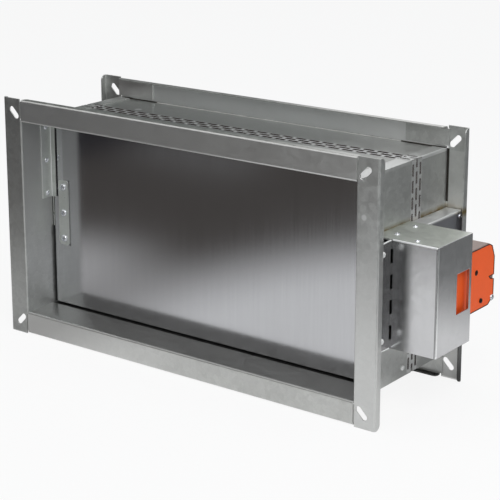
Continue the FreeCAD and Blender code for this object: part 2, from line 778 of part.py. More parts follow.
def blade():
    core = new_body("blade_core")
    core_width = f"(2 * ({BLADE_END} - skin_sheet))"
    core_height = f"(2 * ({BLADE_EDGE} - skin_sheet))"
    start = "(axis_depth - board_thickness / 2)"
    pad(
        core,
        "board",
        "XZ_Plane",
        start,
        "board_thickness",
        [centred(core_width, core_height)] + bolt_passages(),
    )
    for side, name in ((LEFT, "left"), (RIGHT, "right")):
        end = f"({side} * ({BLADE_END} - skin_sheet))"
        inside = f"{end} - pin_insert" if side == RIGHT else end
        bore = [("axis_depth", "0", "pin_diameter")]
        cut(core, f"{name}_pin_bore", "YZ_Plane", inside, "pin_insert", circles=bore)

    for name, front in (("blade_front_skin", True), ("blade_rear_skin", False)):
        skin = new_body(name)
        outline = centred(f"(2 * {BLADE_END})", f"(2 * {BLADE_EDGE})")
        tray_start = BLADE_FRONT if front else f"({BLADE_REAR} - skin_return)"
        loops = [outline] + bolt_passages()
        pad(skin, "tray", "XZ_Plane", tray_start, "skin_return", loops)
        hollow_start = f"({BLADE_FRONT} + skin_sheet)" if front else tray_start
        cut(
            skin,
            "hollow",
            "XZ_Plane",
            hollow_start,
            "skin_return - skin_sheet",
            [centred(core_width, core_height)],
        )

    seal = new_body("blade_edge_seal")
    seal_start = f"({BLADE_FRONT} + skin_return)"
    seal_depth = f"({BLADE_REAR} - {BLADE_FRONT} - 2 * skin_return)"
    pad(
        seal,
        "ring",
        "XZ_Plane",
        seal_start,
        seal_depth,
        [
            centred("(duct_width - 2 * seal_gap)", "(duct_height - 2 * seal_gap)"),
            centred(core_width, core_height),
        ],
    )
    notch = f"({PLATE_DIAGONAL} + 2 * seal_notch_gap)"
    for side, name in ((LEFT, "left"), (RIGHT, "right")):
        inside = f"{side} * {BLADE_END}" if side == RIGHT else f"-{WALL}"
        circle = [("axis_depth", "0", notch)]
        cut(seal, f"{name}_notch", "YZ_Plane", inside, "blade_side_gap", circles=circle)
        collar = f"{side} * {BLADE_END} - skin_sheet - 1"
        bore = [("axis_depth", "0", "pin_diameter")]
        cut(seal, f"{name}_bore", "YZ_Plane", collar, "2 * skin_sheet + 2", circles=bore)

    for side, name in ((LEFT, "left"), (RIGHT, "right")):
        for front, place in ((True, "front"), (False, "rear")):
            strap = new_body(f"hinge_strap_{name}_{place}")
            first = f"({BLADE_FRONT} - strap_sheet)" if front else BLADE_REAR
            x = f"{side} * {STRAP_CENTRE}"
            loops = [centred("strap_width", "strap_length", x)]
            loops += [centred("bolt_neck", "bolt_neck", a, b) for a, b in bolt_places(side)]
            pad(strap, "strap", "XZ_Plane", first, "strap_sheet", loops)
            corners = {
                "x": [f"{x} - strap_width / 2", f"{x} + strap_width / 2"],
                "z": ["-strap_length / 2", "strap_length / 2"],
            }
            round_edges(strap, "corners", "strap_corner", ("y", corners))


def blade_bolts():
    """Bolts through both straps and the board. The middle one of each side locks its pin."""
    thick = value_of(f"{BLADE_REAR} - {BLADE_FRONT} + 2 * strap_sheet")
    nut_height = value_of("nut_height")
    front = value_of(f"{BLADE_FRONT} - strap_sheet")
    neck = value_of("bolt_neck")
    places = places_of(bolt_places(LEFT) + bolt_places(RIGHT))
    bolts = []
    nuts = []
    for x, z in places:
        bolts.append(
            fastener_head(
                value_of("bolt_head_diameter"),
                value_of("bolt_head_height"),
                (x, front, z),
                (0, -1, 0),
                neck=neck,
                length=thick + nut_height,
            )
        )
        corner = value_of("nut_flats") / 3**0.5
        nut = faceted([polygon(6, corner, 0), polygon(6, corner, nut_height)])
        nut = nut.cut(Part.makeBox(neck, neck, nut_height, FreeCAD.Vector(-neck / 2, -neck / 2, 0)))
        turn = FreeCAD.Rotation(FreeCAD.Vector(0, 0, 1), FreeCAD.Vector(0, 1, 0))
        nut.Placement = FreeCAD.Placement(FreeCAD.Vector(x, front + thick, z), turn)
        nuts.append(nut)
    group("blade_bolts", bolts)
    group("blade_nuts", nuts)


def pivots():
    """Pin on the left, drive shaft on the right, each in a bearing with a plate on the side wall."""
    locked = [
        [centred("bolt_neck", "bolt_neck", f"{side} * {STRAP_CENTRE}")] for side in (LEFT, RIGHT)
    ]
    inner_end = f"({BLADE_END} - skin_sheet - pin_insert)"

    pin = new_body("pivot_pin_left")
    reach = f"({WALL} + case_sheet + bearing_reach + pin_overhang)"
    circle = [("axis_depth", "0", "pin_diameter")]
    pad(pin, "pin", "YZ_Plane", f"-{reach}", f"{reach} - {inner_end}", circles=circle)
    across = ("axis_depth - pin_diameter", "2 * pin_diameter")
    cut(pin, "bolt_hole", "XZ_Plane", *across, locked[0])

    shaft = new_body("drive_shaft")
    journal_end = f"({WALL} + case_sheet + bearing_reach)"
    tip = f"({DRIVE_FACE} + face_sheet + sleeve_proud + shaft_proud)"
    pad(shaft, "journal", "YZ_Plane", inner_end, f"{journal_end} - {inner_end}", circles=circle)
    square = [centred("square_side", "square_side", "axis_depth")]
    pad(shaft, "square", "YZ_Plane", journal_end, f"{tip} - {journal_end}", square)
    cut(shaft, "bolt_hole", "XZ_Plane", *across, locked[1])

    bore = ("axis_depth", "0", "(pin_diameter + 2 * running_gap)")
    for side, name in ((LEFT, "left"), (RIGHT, "right")):
        bearing = new_body(f"bearing_{name}")
        thick = "(blade_side_gap - bearing_gap)"
        plate_start = f"-{WALL}" if side == LEFT else f"({WALL} - {thick})"
        hub_start = f"-{journal_end}" if side == LEFT else WALL
        plate = [centred(PLATE_WIDTH, "bearing_plate_height", "axis_depth")]
        pad(bearing, "plate", "YZ_Plane", plate_start, thick, plate, [bore])
        hub = [("axis_depth", "0", "bearing_hub_diameter"), bore]
        pad(bearing, "hub", "YZ_Plane", hub_start, "case_sheet + bearing_reach", circles=hub)

    clips = []
    for side in (LEFT, RIGHT):
        x = side * value_of(f"{WALL} + case_sheet")
        if side == LEFT:
            x -= value_of("clip_sheet")
        axis = FreeCAD.Vector(1, 0, 0)
        place = FreeCAD.Vector(x, value_of("axis_depth"), 0)
        disc = Part.makeCylinder(value_of("clip_diameter / 2"), value_of("clip_sheet"), place, axis)
        hole = Part.makeCylinder(
            value_of("bearing_hub_diameter / 2"), value_of("clip_sheet"), place, axis
        )
        clips.append(disc.cut(hole))
    group("bearing_clips", clips)


def console():
    """Channel that carries the drive clear of the insulated wall."""
    body = new_body("console")
    foot_face = f"({WALL} + case_sheet)"
    foot_inside = f"({WALL} + case_sheet + console_sheet)"
    web_inside = f"({CONSOLE_FACE} - console_sheet)"
    section = [
        (CONSOLE_FACE, CONSOLE_TOP),
        (foot_face, CONSOLE_TOP),
        (foot_face, f"{CONSOLE_TOP} - console_sheet - foot_width"),
        (foot_inside, f"{CONSOLE_TOP} - console_sheet - foot_width"),
        (foot_inside, f"{CONSOLE_TOP} - console_sheet"),
        (web_inside, f"{CONSOLE_TOP} - console_sheet"),
        (web_inside, f"{CONSOLE_BOTTOM} + console_sheet"),
        (foot_inside, f"{CONSOLE_BOTTOM} + console_sheet"),
        (foot_inside, f"{CONSOLE_BOTTOM} + console_sheet + foot_width"),
        (foot_face, f"{CONSOLE_BOTTOM} + console_sheet + foot_width"),
        (foot_face, CONSOLE_BOTTOM),
        (CONSOLE_FACE, CONSOLE_BOTTOM),
    ]
    rear = "(case_depth - case_sheet - bend_radius - console_end_gap)"
    pad(body, "channel", "XZ_Plane", "web_front", f"{rear} - web_front", [section])
    levels = [CONSOLE_TOP, CONSOLE_BOTTOM]
    inside_levels = [f"{CONSOLE_TOP} - console_sheet", f"{CONSOLE_BOTTOM} + console_sheet"]
    round_edges(
        body,
        "outer_bends",
        "bend_radius + console_sheet",
        ("y", {"x": [foot_face, CONSOLE_FACE], "z": levels}),
    )
    round_edges(
        body,
        "inner_bends",
        "bend_radius",
        ("y", {"x": [foot_inside, web_inside], "z": inside_levels}),
    )
    cut(
        body,
        "open_front",
        "XZ_Plane",
        "web_front - 1",
        "console_front - web_front + 1",
        [
            rectangle(
                f"{foot_face} - 1",
                web_inside,
                f"{CONSOLE_BOTTOM} - 1",
                f"{CONSOLE_TOP} + 1",
            )
        ],
    )
    web_holes = [("axis_depth", "0", "hub_window")]
    cut(body, "web_holes", "YZ_Plane", f"{web_inside} - 1", "console_sheet + 2", circles=web_holes)
    screws = screw_passages("tab_screw_depth", tab_screw_heights())
    cut(body, "screw_holes", "YZ_Plane", f"{web_inside} - 1", "console_sheet + 2", screws)

    rivets = []
    head = [value_of("rivet_head_diameter"), value_of("rivet_head_height")]
    for depth in FOOT_DEPTHS:
        for height in FOOT_HEIGHTS:
            place = (value_of(foot_inside), value_of(depth), value_of(height))
            rivets.append(fastener_head(*head, place, (1, 0, 0)))
    group("console_rivets", rivets)


def tab_screw_heights():
    return [f"(box_centre + {end} * tab_screw_spread / 2)" for end in (-1, 1)]


def screw_passages(depth, heights):
    return [centred("screw_neck", "screw_neck", depth, height) for height in heights]


def drive_screw_places():
    y = f"({DRIVE_END} - mount_screw_end)"
    return [(y, f"(box_centre + {end} * mount_screw_spread / 2)") for end in (-1, 1)]


def plate_rivet_places():
    """Two rivets into the console and one into the cover's flange."""
    inner = f"({CONSOLE_FACE} - lid_rivet_inset)"
    return [
        (inner, f"({COVER_REAR} - lid_rivet_end - lid_rivet_pitch)"),
        (inner, f"({COVER_REAR} - lid_rivet_end)"),
        (f"({CONSOLE_FACE} + lid_rivet_reach)", "(cover_front + lid_rivet_depth)"),
    ]


def cover():
    """Folded cover round the drive, with slots along its fold line, a window and an open rear."""
    body = new_body("cover_box")
    face = CONSOLE_FACE
    inside = f"({CONSOLE_FACE} + cover_sheet)"
    outer_inside = f"({COVER_FACE} - cover_sheet)"
    section = [
        (face, "tab_front"),
        (inside, "tab_front"),
        (inside, "cover_front"),
        (COVER_FACE, "cover_front"),
        (COVER_FACE, COVER_REAR),
        (inside, COVER_REAR),
        (inside, f"({COVER_REAR} - cover_sheet)"),
        (outer_inside, f"({COVER_REAR} - cover_sheet)"),
        (outer_inside, "(cover_front + cover_sheet)"),
        (face, "(cover_front + cover_sheet)"),
    ]
    bottom = f"({CONSOLE_BOTTOM} - cover_sheet)"
    height = "(console_height + 2 * cover_sheet)"
    pad(body, "shell", "XY_Plane", bottom, height, [section])
    round_edges(
        body,
        "outer_bends",
        "cover_bend + cover_sheet",
        ("z", {"x": [COVER_FACE], "y": ["cover_front", COVER_REAR]}),
    )
    inside_ends = ["cover_front + cover_sheet", f"{COVER_REAR} - cover_sheet"]
    round_edges(
        body, "inner_bends", "cover_bend", ("z", {"x": [outer_inside], "y": inside_ends})
    )
    cut(
        body,
        "window",
        "YZ_Plane",
        f"{outer_inside} - 1",
        "cover_sheet + 2",
        [
            rectangle(
                "(cover_front + window_front)",
                "(cover_front + window_front + window_length)",
                "(box_centre - window_height / 2)",
                "(box_centre + window_height / 2)",
            )
        ],
    )
    cut(
        body,
        "rear_opening",
        "XZ_Plane",
        f"{COVER_REAR} - cover_sheet - 1",
        "cover_sheet + 2",
        [
            rectangle(
                f"{face} - 1",
                f"({DRIVE_FACE} + face_sheet + drive_clearance)",
                "(box_centre - drive_height / 2 - drive_clearance)",
                "(box_centre + drive_height / 2 + drive_clearance)",
            )
        ],
    )
    slots = [
        centred(
            "fold_slot_width",
            "fold_slot_length",
            f"({face} + fold_slot_width / 2 - 0.5)",
            f"(box_centre + ({step}) * fold_slot_pitch)",
        )
        for step in ("-1.5", "-0.5", "0.5", "1.5")
    ]
    cut(body, "fold_slots", "XZ_Plane", "cover_front - 3", "cover_sheet + 4", slots)
    screws = screw_passages("tab_screw_depth", tab_screw_heights())
    cut(body, "screw_holes", "YZ_Plane", f"{face} - 1", "cover_sheet + 2", screws)
    flange_x = rectangle(
        f"{inside} + cover_flange_gap",
        f"{outer_inside} - cover_flange_gap",
        "cover_front + cover_sheet",
        "cover_front + cover_flange",
    )
    levels = {
        "upper": f"({CONSOLE_TOP} - cover_sheet)",
        "lower": CONSOLE_BOTTOM,
    }
    for name, level in levels.items():
        pad(body, f"{name}_flange", "XY_Plane", level, "cover_sheet", [flange_x])

    plate_end = f"({COVER_FACE} - cover_sheet)"
    plate_front = "(cover_front + cover_sheet)"
    plate_rear = f"({COVER_REAR} - cover_sheet)"
    plate = [
        (f"({WALL} + case_sheet)", plate_front),
        (f"{plate_end} - cover_bend", plate_front),
        (plate_end, f"{plate_front} + cover_bend"),
        (plate_end, f"{plate_rear} - cover_bend"),
        (f"{plate_end} - cover_bend", plate_rear),
        (f"({WALL} + case_sheet)", plate_rear),
    ]
    for name, level in (
        ("cover_top_plate", CONSOLE_TOP),
        ("cover_bottom_plate", f"({CONSOLE_BOTTOM} - cover_sheet)"),
    ):
        lid = new_body(name)
        pad(lid, "plate", "XY_Plane", level, "cover_sheet", [plate])


def cover_fasteners():
    head = [value_of("rivet_head_diameter"), value_of("rivet_head_height")]
    top = value_of(f"{CONSOLE_TOP} + cover_sheet")
    bottom = value_of(f"{CONSOLE_BOTTOM} - cover_sheet")
    rivets = []
    for x, y in places_of(plate_rivet_places()):
        rivets.append(fastener_head(*head, (x, y, top), (0, 0, 1)))
        rivets.append(fastener_head(*head, (x, y, bottom), (0, 0, -1)))
    group("cover_rivets", rivets)
    head = [value_of("screw_head_diameter"), value_of("screw_head_height")]
    x = value_of(f"{CONSOLE_FACE} + cover_sheet")
    y = value_of("tab_screw_depth")
    length = value_of("cover_sheet + console_sheet + 3")
    screws = [
        fastener_head(
            *head, (x, y, value_of(z)), (1, 0, 0), neck=value_of("screw_neck"), length=length
        )
        for z in tab_screw_heights()
    ]
    group("cover_screws", screws)


def drive_outline(inset):
    """Housing or face plate seen from its side: an oblong with unlike chamfers at its far end."""
    near = f"(drive_front + {inset})"
    far = f"({DRIVE_END} - {inset})"
    low = f"(box_centre - drive_height / 2 + {inset})"
    high = f"(box_centre + drive_height / 2 - {inset})"
    return [
        (near, f"{low} + drive_corner / 2"),
        (f"{near} + drive_corner / 2", low),
        (f"{far} - 1.2 * drive_corner", low),
        (far, f"{low} + 0.8 * drive_corner"),
        (far, f"{high} - 1.7 * drive_corner"),
        (f"{far} - 0.6 * drive_corner", f"{high} - 0.3 * drive_corner"),
        (f"{far} - 1.2 * drive_corner", high),
        (f"{near} + drive_corner / 2", high),
        (near, f"{high} - drive_corner / 2"),
    ]


def face_screw_places():
    return [
        ("(drive_front + face_screw_inset)", "(box_centre + drive_height / 2 - face_screw_inset)"),
        ("(drive_front + face_screw_inset)", "(box_centre - drive_height / 2 + face_screw_inset)"),
        (
            f"({DRIVE_END} - face_screw_end)",
            "(box_centre - drive_height / 2 + face_screw_inset)",
        ),
    ]


def cable_outlet_place():
    return (f"({DRIVE_BACK} + grommet_inset)", "(box_centre - grommet_drop)")


def drive():
    body = new_body("drive_housing")
    bore = ("axis_depth", "0", "(sleeve_diameter + 2 * sleeve_gap)")
    pad(body, "housing", "YZ_Plane", DRIVE_BACK, "drive_depth", [drive_outline("0")], [bore])
    outlet = [(*cable_outlet_place(), "grommet_diameter")]
    seat = f"({DRIVE_END} - grommet_seat)"
    cut(body, "cable_outlet", "XZ_Plane", seat, "grommet_seat", circles=outlet)
    seam = [
        rectangle(
            f"({DRIVE_BACK} + drive_depth / 2 - seam_width / 2)",
            f"({DRIVE_BACK} + drive_depth / 2 + seam_width / 2)",
            "(box_centre + drive_height / 2 - seam_depth)",
            "(box_centre + drive_height / 2 + 1)",
        )
    ]
    cut(body, "housing_seam", "XZ_Plane", "drive_front - 1", "drive_length + 2", seam)

    doc.recompute()
    base = body.Tip
    rim = [
        f"Edge{number}"
        for number, edge in enumerate(base.Shape.Edges, start=1)
        if isinstance(edge.Curve, Part.Line)
        and edge.BoundBox.XLength < 0.01
        and abs(edge.BoundBox.XMin - value_of(DRIVE_FACE)) < 0.01
    ]
    chamfer = body.newObject("PartDesign::Chamfer", "rim")
    chamfer.Base = (base, rim)
    chamfer.setExpression("Size", bound("drive_rim"))

    plate = new_body("drive_face_plate")
    near = f"({DRIVE_END} - face_inset - face_notch_depth)"
    notch_y = "(box_centre - 3)"
    circles = [("axis_depth", "0", "(sleeve_diameter + 2 * sleeve_gap)")]
    circles += [
        (
            f"({DRIVE_END} - release_end)",
            "(box_centre + release_height)",
            "release_diameter",
        ),
    ]
    pad(
        plate,
        "plate",
        "YZ_Plane",
        DRIVE_FACE,
        "face_sheet",
        [drive_outline("face_inset")],
        circles,
    )
    cut(
        plate,
        "notch",
        "YZ_Plane",
        f"{DRIVE_FACE} - 1",
        "face_sheet + 2",
        [
            [
                (near, notch_y),
                (f"{near} + face_notch_width / 2", f"{notch_y} - face_notch_width / 2"),
                (f"{DRIVE_END} + 1", f"{notch_y} - face_notch_width"),
                (f"{DRIVE_END} + 1", notch_y),
            ]
        ],
    )

    sleeve = new_body("drive_sleeve")
    start = f"({DRIVE_BACK} + drive_gap)"
    length = f"({DRIVE_FACE} + face_sheet + sleeve_proud - {start})"
    side = "(square_side + 2 * sleeve_fit)"
    pad(
        sleeve,
        "sleeve",
        "YZ_Plane",
        start,
        length,
        [centred(side, side, "axis_depth")],
        [("axis_depth", "0", "sleeve_diameter")],
    )

    pointer = new_body("position_pointer")
    start = f"({DRIVE_FACE} + face_sheet + sleeve_proud)"
    pad(
        pointer,
        "hub",
        "YZ_Plane",
        start,
        "pointer_sheet",
        [centred(side, side, "axis_depth")],
        [("axis_depth", "0", "pointer_diameter")],
    )
    pad(
        pointer,
        "arm",
        "YZ_Plane",
        start,
        "pointer_sheet",
        [[("axis_depth - pointer_width / 2", "square_side / 2 + 2"),
          ("axis_depth + pointer_width / 2", "square_side / 2 + 2"),
          ("axis_depth", "pointer_length")]],
    )

    grommet = new_body("cable_grommet")
    centre = cable_outlet_place()
    pad(
        grommet,
        "ring",
        "XZ_Plane",
        f"({DRIVE_END} - grommet_seat)",
        "grommet_seat + grommet_reach",
        circles=[(*centre, "grommet_diameter"), (*centre, "grommet_bore")],
    )


def drive_fasteners():
    head = [value_of("face_screw_head"), value_of("face_screw_height")]
    x = value_of(f"{DRIVE_FACE} + face_sheet")
    screws = [fastener_head(*head, (x, y, z), (1, 0, 0)) for y, z in places_of(face_screw_places())]
    group("drive_face_screws", screws)
    head = [value_of("screw_head_diameter"), value_of("screw_head_height")]
    x = value_of(f"{CONSOLE_FACE} - console_sheet")
    screws = [
        fastener_head(*head, (x, y, z), (-1, 0, 0)) for y, z in places_of(drive_screw_places())
    ]
    group("drive_mounting_screws", screws)


def thermal_fuse():
    """Fuse body on the wall inside the console, with its probe in the air stream."""
    body = new_body("thermal_fuse")
    centre = ("fuse_depth", "fuse_height")
    pad(
        body,
        "housing",
        "YZ_Plane",
        f"({WALL} + case_sheet)",
        "fuse_body_length",
        circles=[(*centre, "fuse_body_diameter")],
    )
    pad(
        body,
        "probe",
        "YZ_Plane",
        f"({WALL} - fuse_probe_length)",
        "fuse_probe_length + case_sheet",
        circles=[(*centre, "fuse_probe_diameter")],
    )


def check_model():
    doc.recompute()
    for thing in doc.Objects:
        if "Invalid" in thing.State or "Error" in thing.State:
            raise RuntimeError(f"{thing.Name} of {thing.Label} failed: {thing.State}")
    for thing in doc.Objects:
        if thing.isDerivedFrom("PartDesign::Pocket"):
            if thing.BaseFeature.Shape.Volume - thing.Shape.Volume < 0.01:
                raise RuntimeError(f"{thing.Name} cuts nothing")
    for piece in made:
        if piece.Shape.isNull() or not piece.Shape.isValid() or not piece.Shape.Solids:
            raise RuntimeError(f"{piece.Label} has no valid solid")


casing()
stops()
stop_rivets()
intumescent_strips()
blade()
blade_bolts()
pivots()
console()
cover()
cover_fasteners()
drive()
drive_fasteners()
thermal_fuse()
check_model()

os.makedirs("parts", exist_ok=True)
for piece in made:
    piece.Shape.exportStep(f"parts/{piece.Label}.step")
    print(piece.Label, len(piece.Shape.Solids), round(piece.Shape.Volume))
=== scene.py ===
"""Fire damper: materials, small details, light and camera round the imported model.

Metres, in the model's own frame: X across the duct towards the drive, Y along the air path,
Z up. The origin is the centre of the front opening.
"""

import math

import bmesh
import bpy
from mathutils import Matrix, Vector


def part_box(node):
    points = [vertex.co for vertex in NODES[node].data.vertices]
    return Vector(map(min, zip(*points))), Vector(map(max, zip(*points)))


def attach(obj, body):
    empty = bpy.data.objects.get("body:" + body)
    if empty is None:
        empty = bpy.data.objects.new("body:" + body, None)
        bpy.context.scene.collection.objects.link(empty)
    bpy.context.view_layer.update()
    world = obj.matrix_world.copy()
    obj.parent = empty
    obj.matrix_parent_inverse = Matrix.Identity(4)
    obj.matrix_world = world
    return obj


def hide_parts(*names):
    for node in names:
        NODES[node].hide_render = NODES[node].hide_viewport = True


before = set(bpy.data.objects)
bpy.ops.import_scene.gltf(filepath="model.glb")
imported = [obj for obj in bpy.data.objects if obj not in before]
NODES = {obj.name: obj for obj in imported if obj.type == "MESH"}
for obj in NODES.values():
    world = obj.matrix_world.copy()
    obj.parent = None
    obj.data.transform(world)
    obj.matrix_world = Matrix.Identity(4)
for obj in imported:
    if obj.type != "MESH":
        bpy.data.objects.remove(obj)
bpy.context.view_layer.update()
scene = bpy.context.scene
scene.view_settings.view_transform = "Standard"

# Places on the damper, from the frame
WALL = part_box("casing_top")[1][0]  # inside of the right wall; the left one mirrors it
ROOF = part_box("casing_top")[0][2]  # underside of the top wall; the bottom one mirrors it
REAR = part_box("casing_top")[1][1]  # face of the rear flange
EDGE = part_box("casing_right")[1][0]  # outer edge of the right posts
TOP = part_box("casing_right")[1][2]  # upper end of the posts
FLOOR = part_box("casing_right")[0][2]  # lower end of the posts
CONSOLE_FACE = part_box("console")[1][0]
CONSOLE_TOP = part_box("console")[1][2]
COVER_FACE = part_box("cover_box")[1][0]
COVER_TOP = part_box("cover_box")[1][2]
COVER_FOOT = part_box("cover_box")[0][2]
DRIVE_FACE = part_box("drive_face_plate")[1][0]
STRAP_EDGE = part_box("hinge_strap_right_front")[0][0]
STRAP_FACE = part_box("hinge_strap_right_front")[0][1]
STRAP_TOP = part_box("hinge_strap_right_front")[1][2]

# Sizes that the frame's boxes don't give
SHEET = 0.0015  # casing, stops and console
COVER_SHEET = 0.0012
COVER_FRONT = 0.0424  # where the cover's front fold is, behind the front flange's face
SLIT_ROWS = (0.137, 0.1465, 0.156)  # middle of each row of slits along Y
SLIT_PITCH = 0.023
SLIT_LENGTH = 0.016
SLIT_WIDTH = 0.0032
FRONT_FACE = (-0.01, 0.0004)  # from before the front flange to just inside its face
PAST = 0.005  # how far the box of a mark reaches past the sheet's own edge

# Colours of the marks on the sheet, painted highlights and painted shade among them
# Pale zinc: painted highlights on folds, edges and round the slits; also the weld spots
PALE = (0.86, 0.87, 0.87)
# Edge colour: worn zinc, and a painted highlight along the edges
WEAR_AND_SHEEN = (0.86, 0.87, 0.86)
# Lighter zinc: painted highlights on the faces of flanges and posts
LIGHT_ZINC = (0.72, 0.72, 0.71)
# Near black: painted shade in gaps, on lips, and beside and under the blade
PAINTED_SHADE = (0.03, 0.03, 0.03)
# Dark brown: painted shade in and round the slits
SLIT_SHADE_COLOUR = (0.025, 0.012, 0.009)
JOINT = (0.05, 0.045, 0.04)

# Stretch of the rolling marks, long along one axis
GRAIN_ACROSS = (4, 60, 60)
GRAIN_ALONG = (60, 4, 60)
GRAIN_UP = (60, 60, 4)

# Crystals of the zinc in a metre
LARGE_CRYSTALS = 140
SMALL_CRYSTALS = 420


# Shader nodes


def add_node(tree, kind, inputs, **settings):
    """A new shader node: its settings, and a link or a value for each named input."""
    node = tree.nodes.new("ShaderNode" + kind)
    for name, value in settings.items():
        setattr(node, name, value)
    for name, value in inputs.items():
        if isinstance(value, bpy.types.NodeSocket):
            tree.links.new(value, node.inputs[name])
        else:
            node.inputs[name].default_value = value
    return node


def object_coords(tree):
    """Places in the object's own frame, from one node for the whole tree."""
    coords = tree.nodes.get("coords")
    if coords is None:
        coords = add_node(tree, "TexCoord", {}, name="coords")
    return coords.outputs["Object"]


def object_axes(tree):
    """The object's X, Y and Z as three numbers."""
    return add_node(tree, "SeparateXYZ", {0: object_coords(tree)}).outputs


def spread(tree, value, low, high, start=0.0, end=1.0, curve="LINEAR"):
    """A value between start and end as low to high."""
    limits = {"From Min": start, "From Max": end, "To Min": low, "To Max": high}
    inputs = {"Value": value, **limits}
    return add_node(tree, "MapRange", inputs, interpolation_type=curve).outputs[0]


def joined(tree, operation, *values):
    """Numbers joined by one operation, from the first to the last."""
    result = values[0]
    for value in values[1:]:
        result = add_node(tree, "Math", {0: result, 1: value}, operation=operation).outputs[0]
    return result


def product(tree, *values):
    """Numbers or masks multiplied."""
    return joined(tree, "MULTIPLY", *values)


def vector_step(tree, operation, first, second=(0, 0, 0)):
    """One step of vector arithmetic, as a vector, or as a number where it gives one."""
    step = add_node(tree, "VectorMath", {0: first, 1: second}, operation=operation)
    number = operation in ("LENGTH", "DISTANCE", "DOT_PRODUCT")
    return step.outputs["Value" if number else "Vector"]


def mixed(tree, share, first, second):
    """Two shaders, the second where the share is 1."""
    return add_node(tree, "MixShader", {0: share, 1: first, 2: second}).outputs[0]


def tinted(tree, colour, value):
    """The colour times a grey texture."""
    inputs = {"Factor": 1, "A": (*colour, 1), "B": value}
    mix = add_node(tree, "Mix", inputs, data_type="RGBA", blend_type="MULTIPLY")
    return mix.outputs["Result"]


def toward(tree, base, colour, mask):
    """The base colour, and where the mask is 1 the other colour."""
    inputs = {"Factor": mask, "A": base, "B": (*colour, 1)}
    return add_node(tree, "Mix", inputs, data_type="RGBA").outputs["Result"]


# Camera, light and background


def make_camera():
    """Long lens from the front right, above the damper, with the photograph's framing."""
    data = bpy.data.cameras.new("camera")
    data.sensor_width = 36
    data.lens = 113.5
    data.shift_y = -0.15
    data.clip_end = 50
    camera = bpy.data.objects.new("camera", data)
    camera.location = (1.3628, -1.6405, 0.6518)
    dip = 14.17
    heading = 36.93
    camera.rotation_euler = (math.radians(90 - dip), 0, math.radians(heading))
    scene.collection.objects.link(camera)
    scene.camera = camera


def seen_background(tree):
    """1 where the ray comes from the camera or from gloss or glass."""
    path = add_node(tree, "LightPath", {}).outputs
    seen = (path["Is Camera Ray"], path["Is Glossy Ray"], path["Is Transmission Ray"])
    return joined(tree, "MAXIMUM", *seen)


def make_world():
    """Cool, dim light on the set, and plain white where the background is seen."""
    world = bpy.data.worlds.new("studio")
    scene.world = world
    world.use_nodes = True
    tree = world.node_tree
    tree.nodes.clear()
    cool = {"Color": (0.93, 0.97, 1, 1), "Strength": 0.45}
    light = add_node(tree, "Background", cool).outputs[0]
    white = add_node(tree, "Background", {"Color": (1, 1, 1, 1), "Strength": 1}).outputs[0]
    add_node(tree, "OutputWorld", {0: mixed(tree, seen_background(tree), light, white)})


def area_lamp(name, place, target, size, power):
    """A square lamp that faces its target."""
    data = bpy.data.lights.new(name, "AREA")
    data.shape = "RECTANGLE"
    data.size = size
    data.size_y = size
    data.energy = power
    lamp = bpy.data.objects.new(name, data)
    lamp.location = place
    lamp.rotation_euler = (Vector(target) - Vector(place)).to_track_quat("-Z", "Y").to_euler()
    scene.collection.objects.link(lamp)


def panel(name, place, size, gloss_only=True):
    """A rectangle of the studio, with a material that holds only its output."""
    mesh = bpy.data.meshes.new(name)
    x = size[0] / 2
    y = size[1] / 2
    mesh.from_pydata([(-x, -y, 0), (x, -y, 0), (x, y, 0), (-x, y, 0)], [], [(0, 1, 2, 3)])
    piece = bpy.data.objects.new(name, mesh)
    piece.location = place
    scene.collection.objects.link(piece)
    if gloss_only:
        piece.visible_camera = False
        piece.visible_shadow = False
        piece.visible_diffuse = False
    material = bpy.data.materials.new(name)
    material.use_nodes = True
    material.node_tree.nodes.clear()
    mesh.materials.append(material)
    return piece, material.node_tree


def show(tree, shader):
    """Makes the shader the surface of the tree's material."""
    add_node(tree, "OutputMaterial", {0: shader})


def make_floor():
    """White floor, which keeps a faint shadow where the camera sees it."""
    tree = panel("floor", (0, 0, FLOOR), (18, 18), gloss_only=False)[1]
    lit = add_node(tree, "BsdfDiffuse", {"Color": (0.9, 0.9, 0.9, 1)}).outputs[0]
    white = add_node(tree, "Emission", {"Color": (1, 1, 1, 1), "Strength": 1}).outputs[0]
    camera_ray = add_node(tree, "LightPath", {}).outputs["Is Camera Ray"]
    bright = mixed(tree, spread(tree, camera_ray, 0.55, 0.88), lit, white)
    show(tree, mixed(tree, seen_background(tree), lit, bright))


def flag(name, place, target, size, colour, soft):
    """A panel that only gloss reflects, faded at its edges."""
    piece, tree = panel(name, place, size)
    piece.rotation_euler = (Vector(target) - Vector(place)).to_track_quat("Z", "Y").to_euler()
    fades = []
    for along, length in zip(object_axes(tree), size):
        far = add_node(tree, "Math", {0: along}, operation="ABSOLUTE").outputs[0]
        half = length / 2
        fades.append(spread(tree, far, 0, 1, half, half - soft, "SMOOTHSTEP"))
    clear = add_node(tree, "BsdfTransparent", {}).outputs[0]
    glow = add_node(tree, "Emission", {"Color": (*colour, 1)}).outputs[0]
    show(tree, mixed(tree, product(tree, *fades), clear, glow))


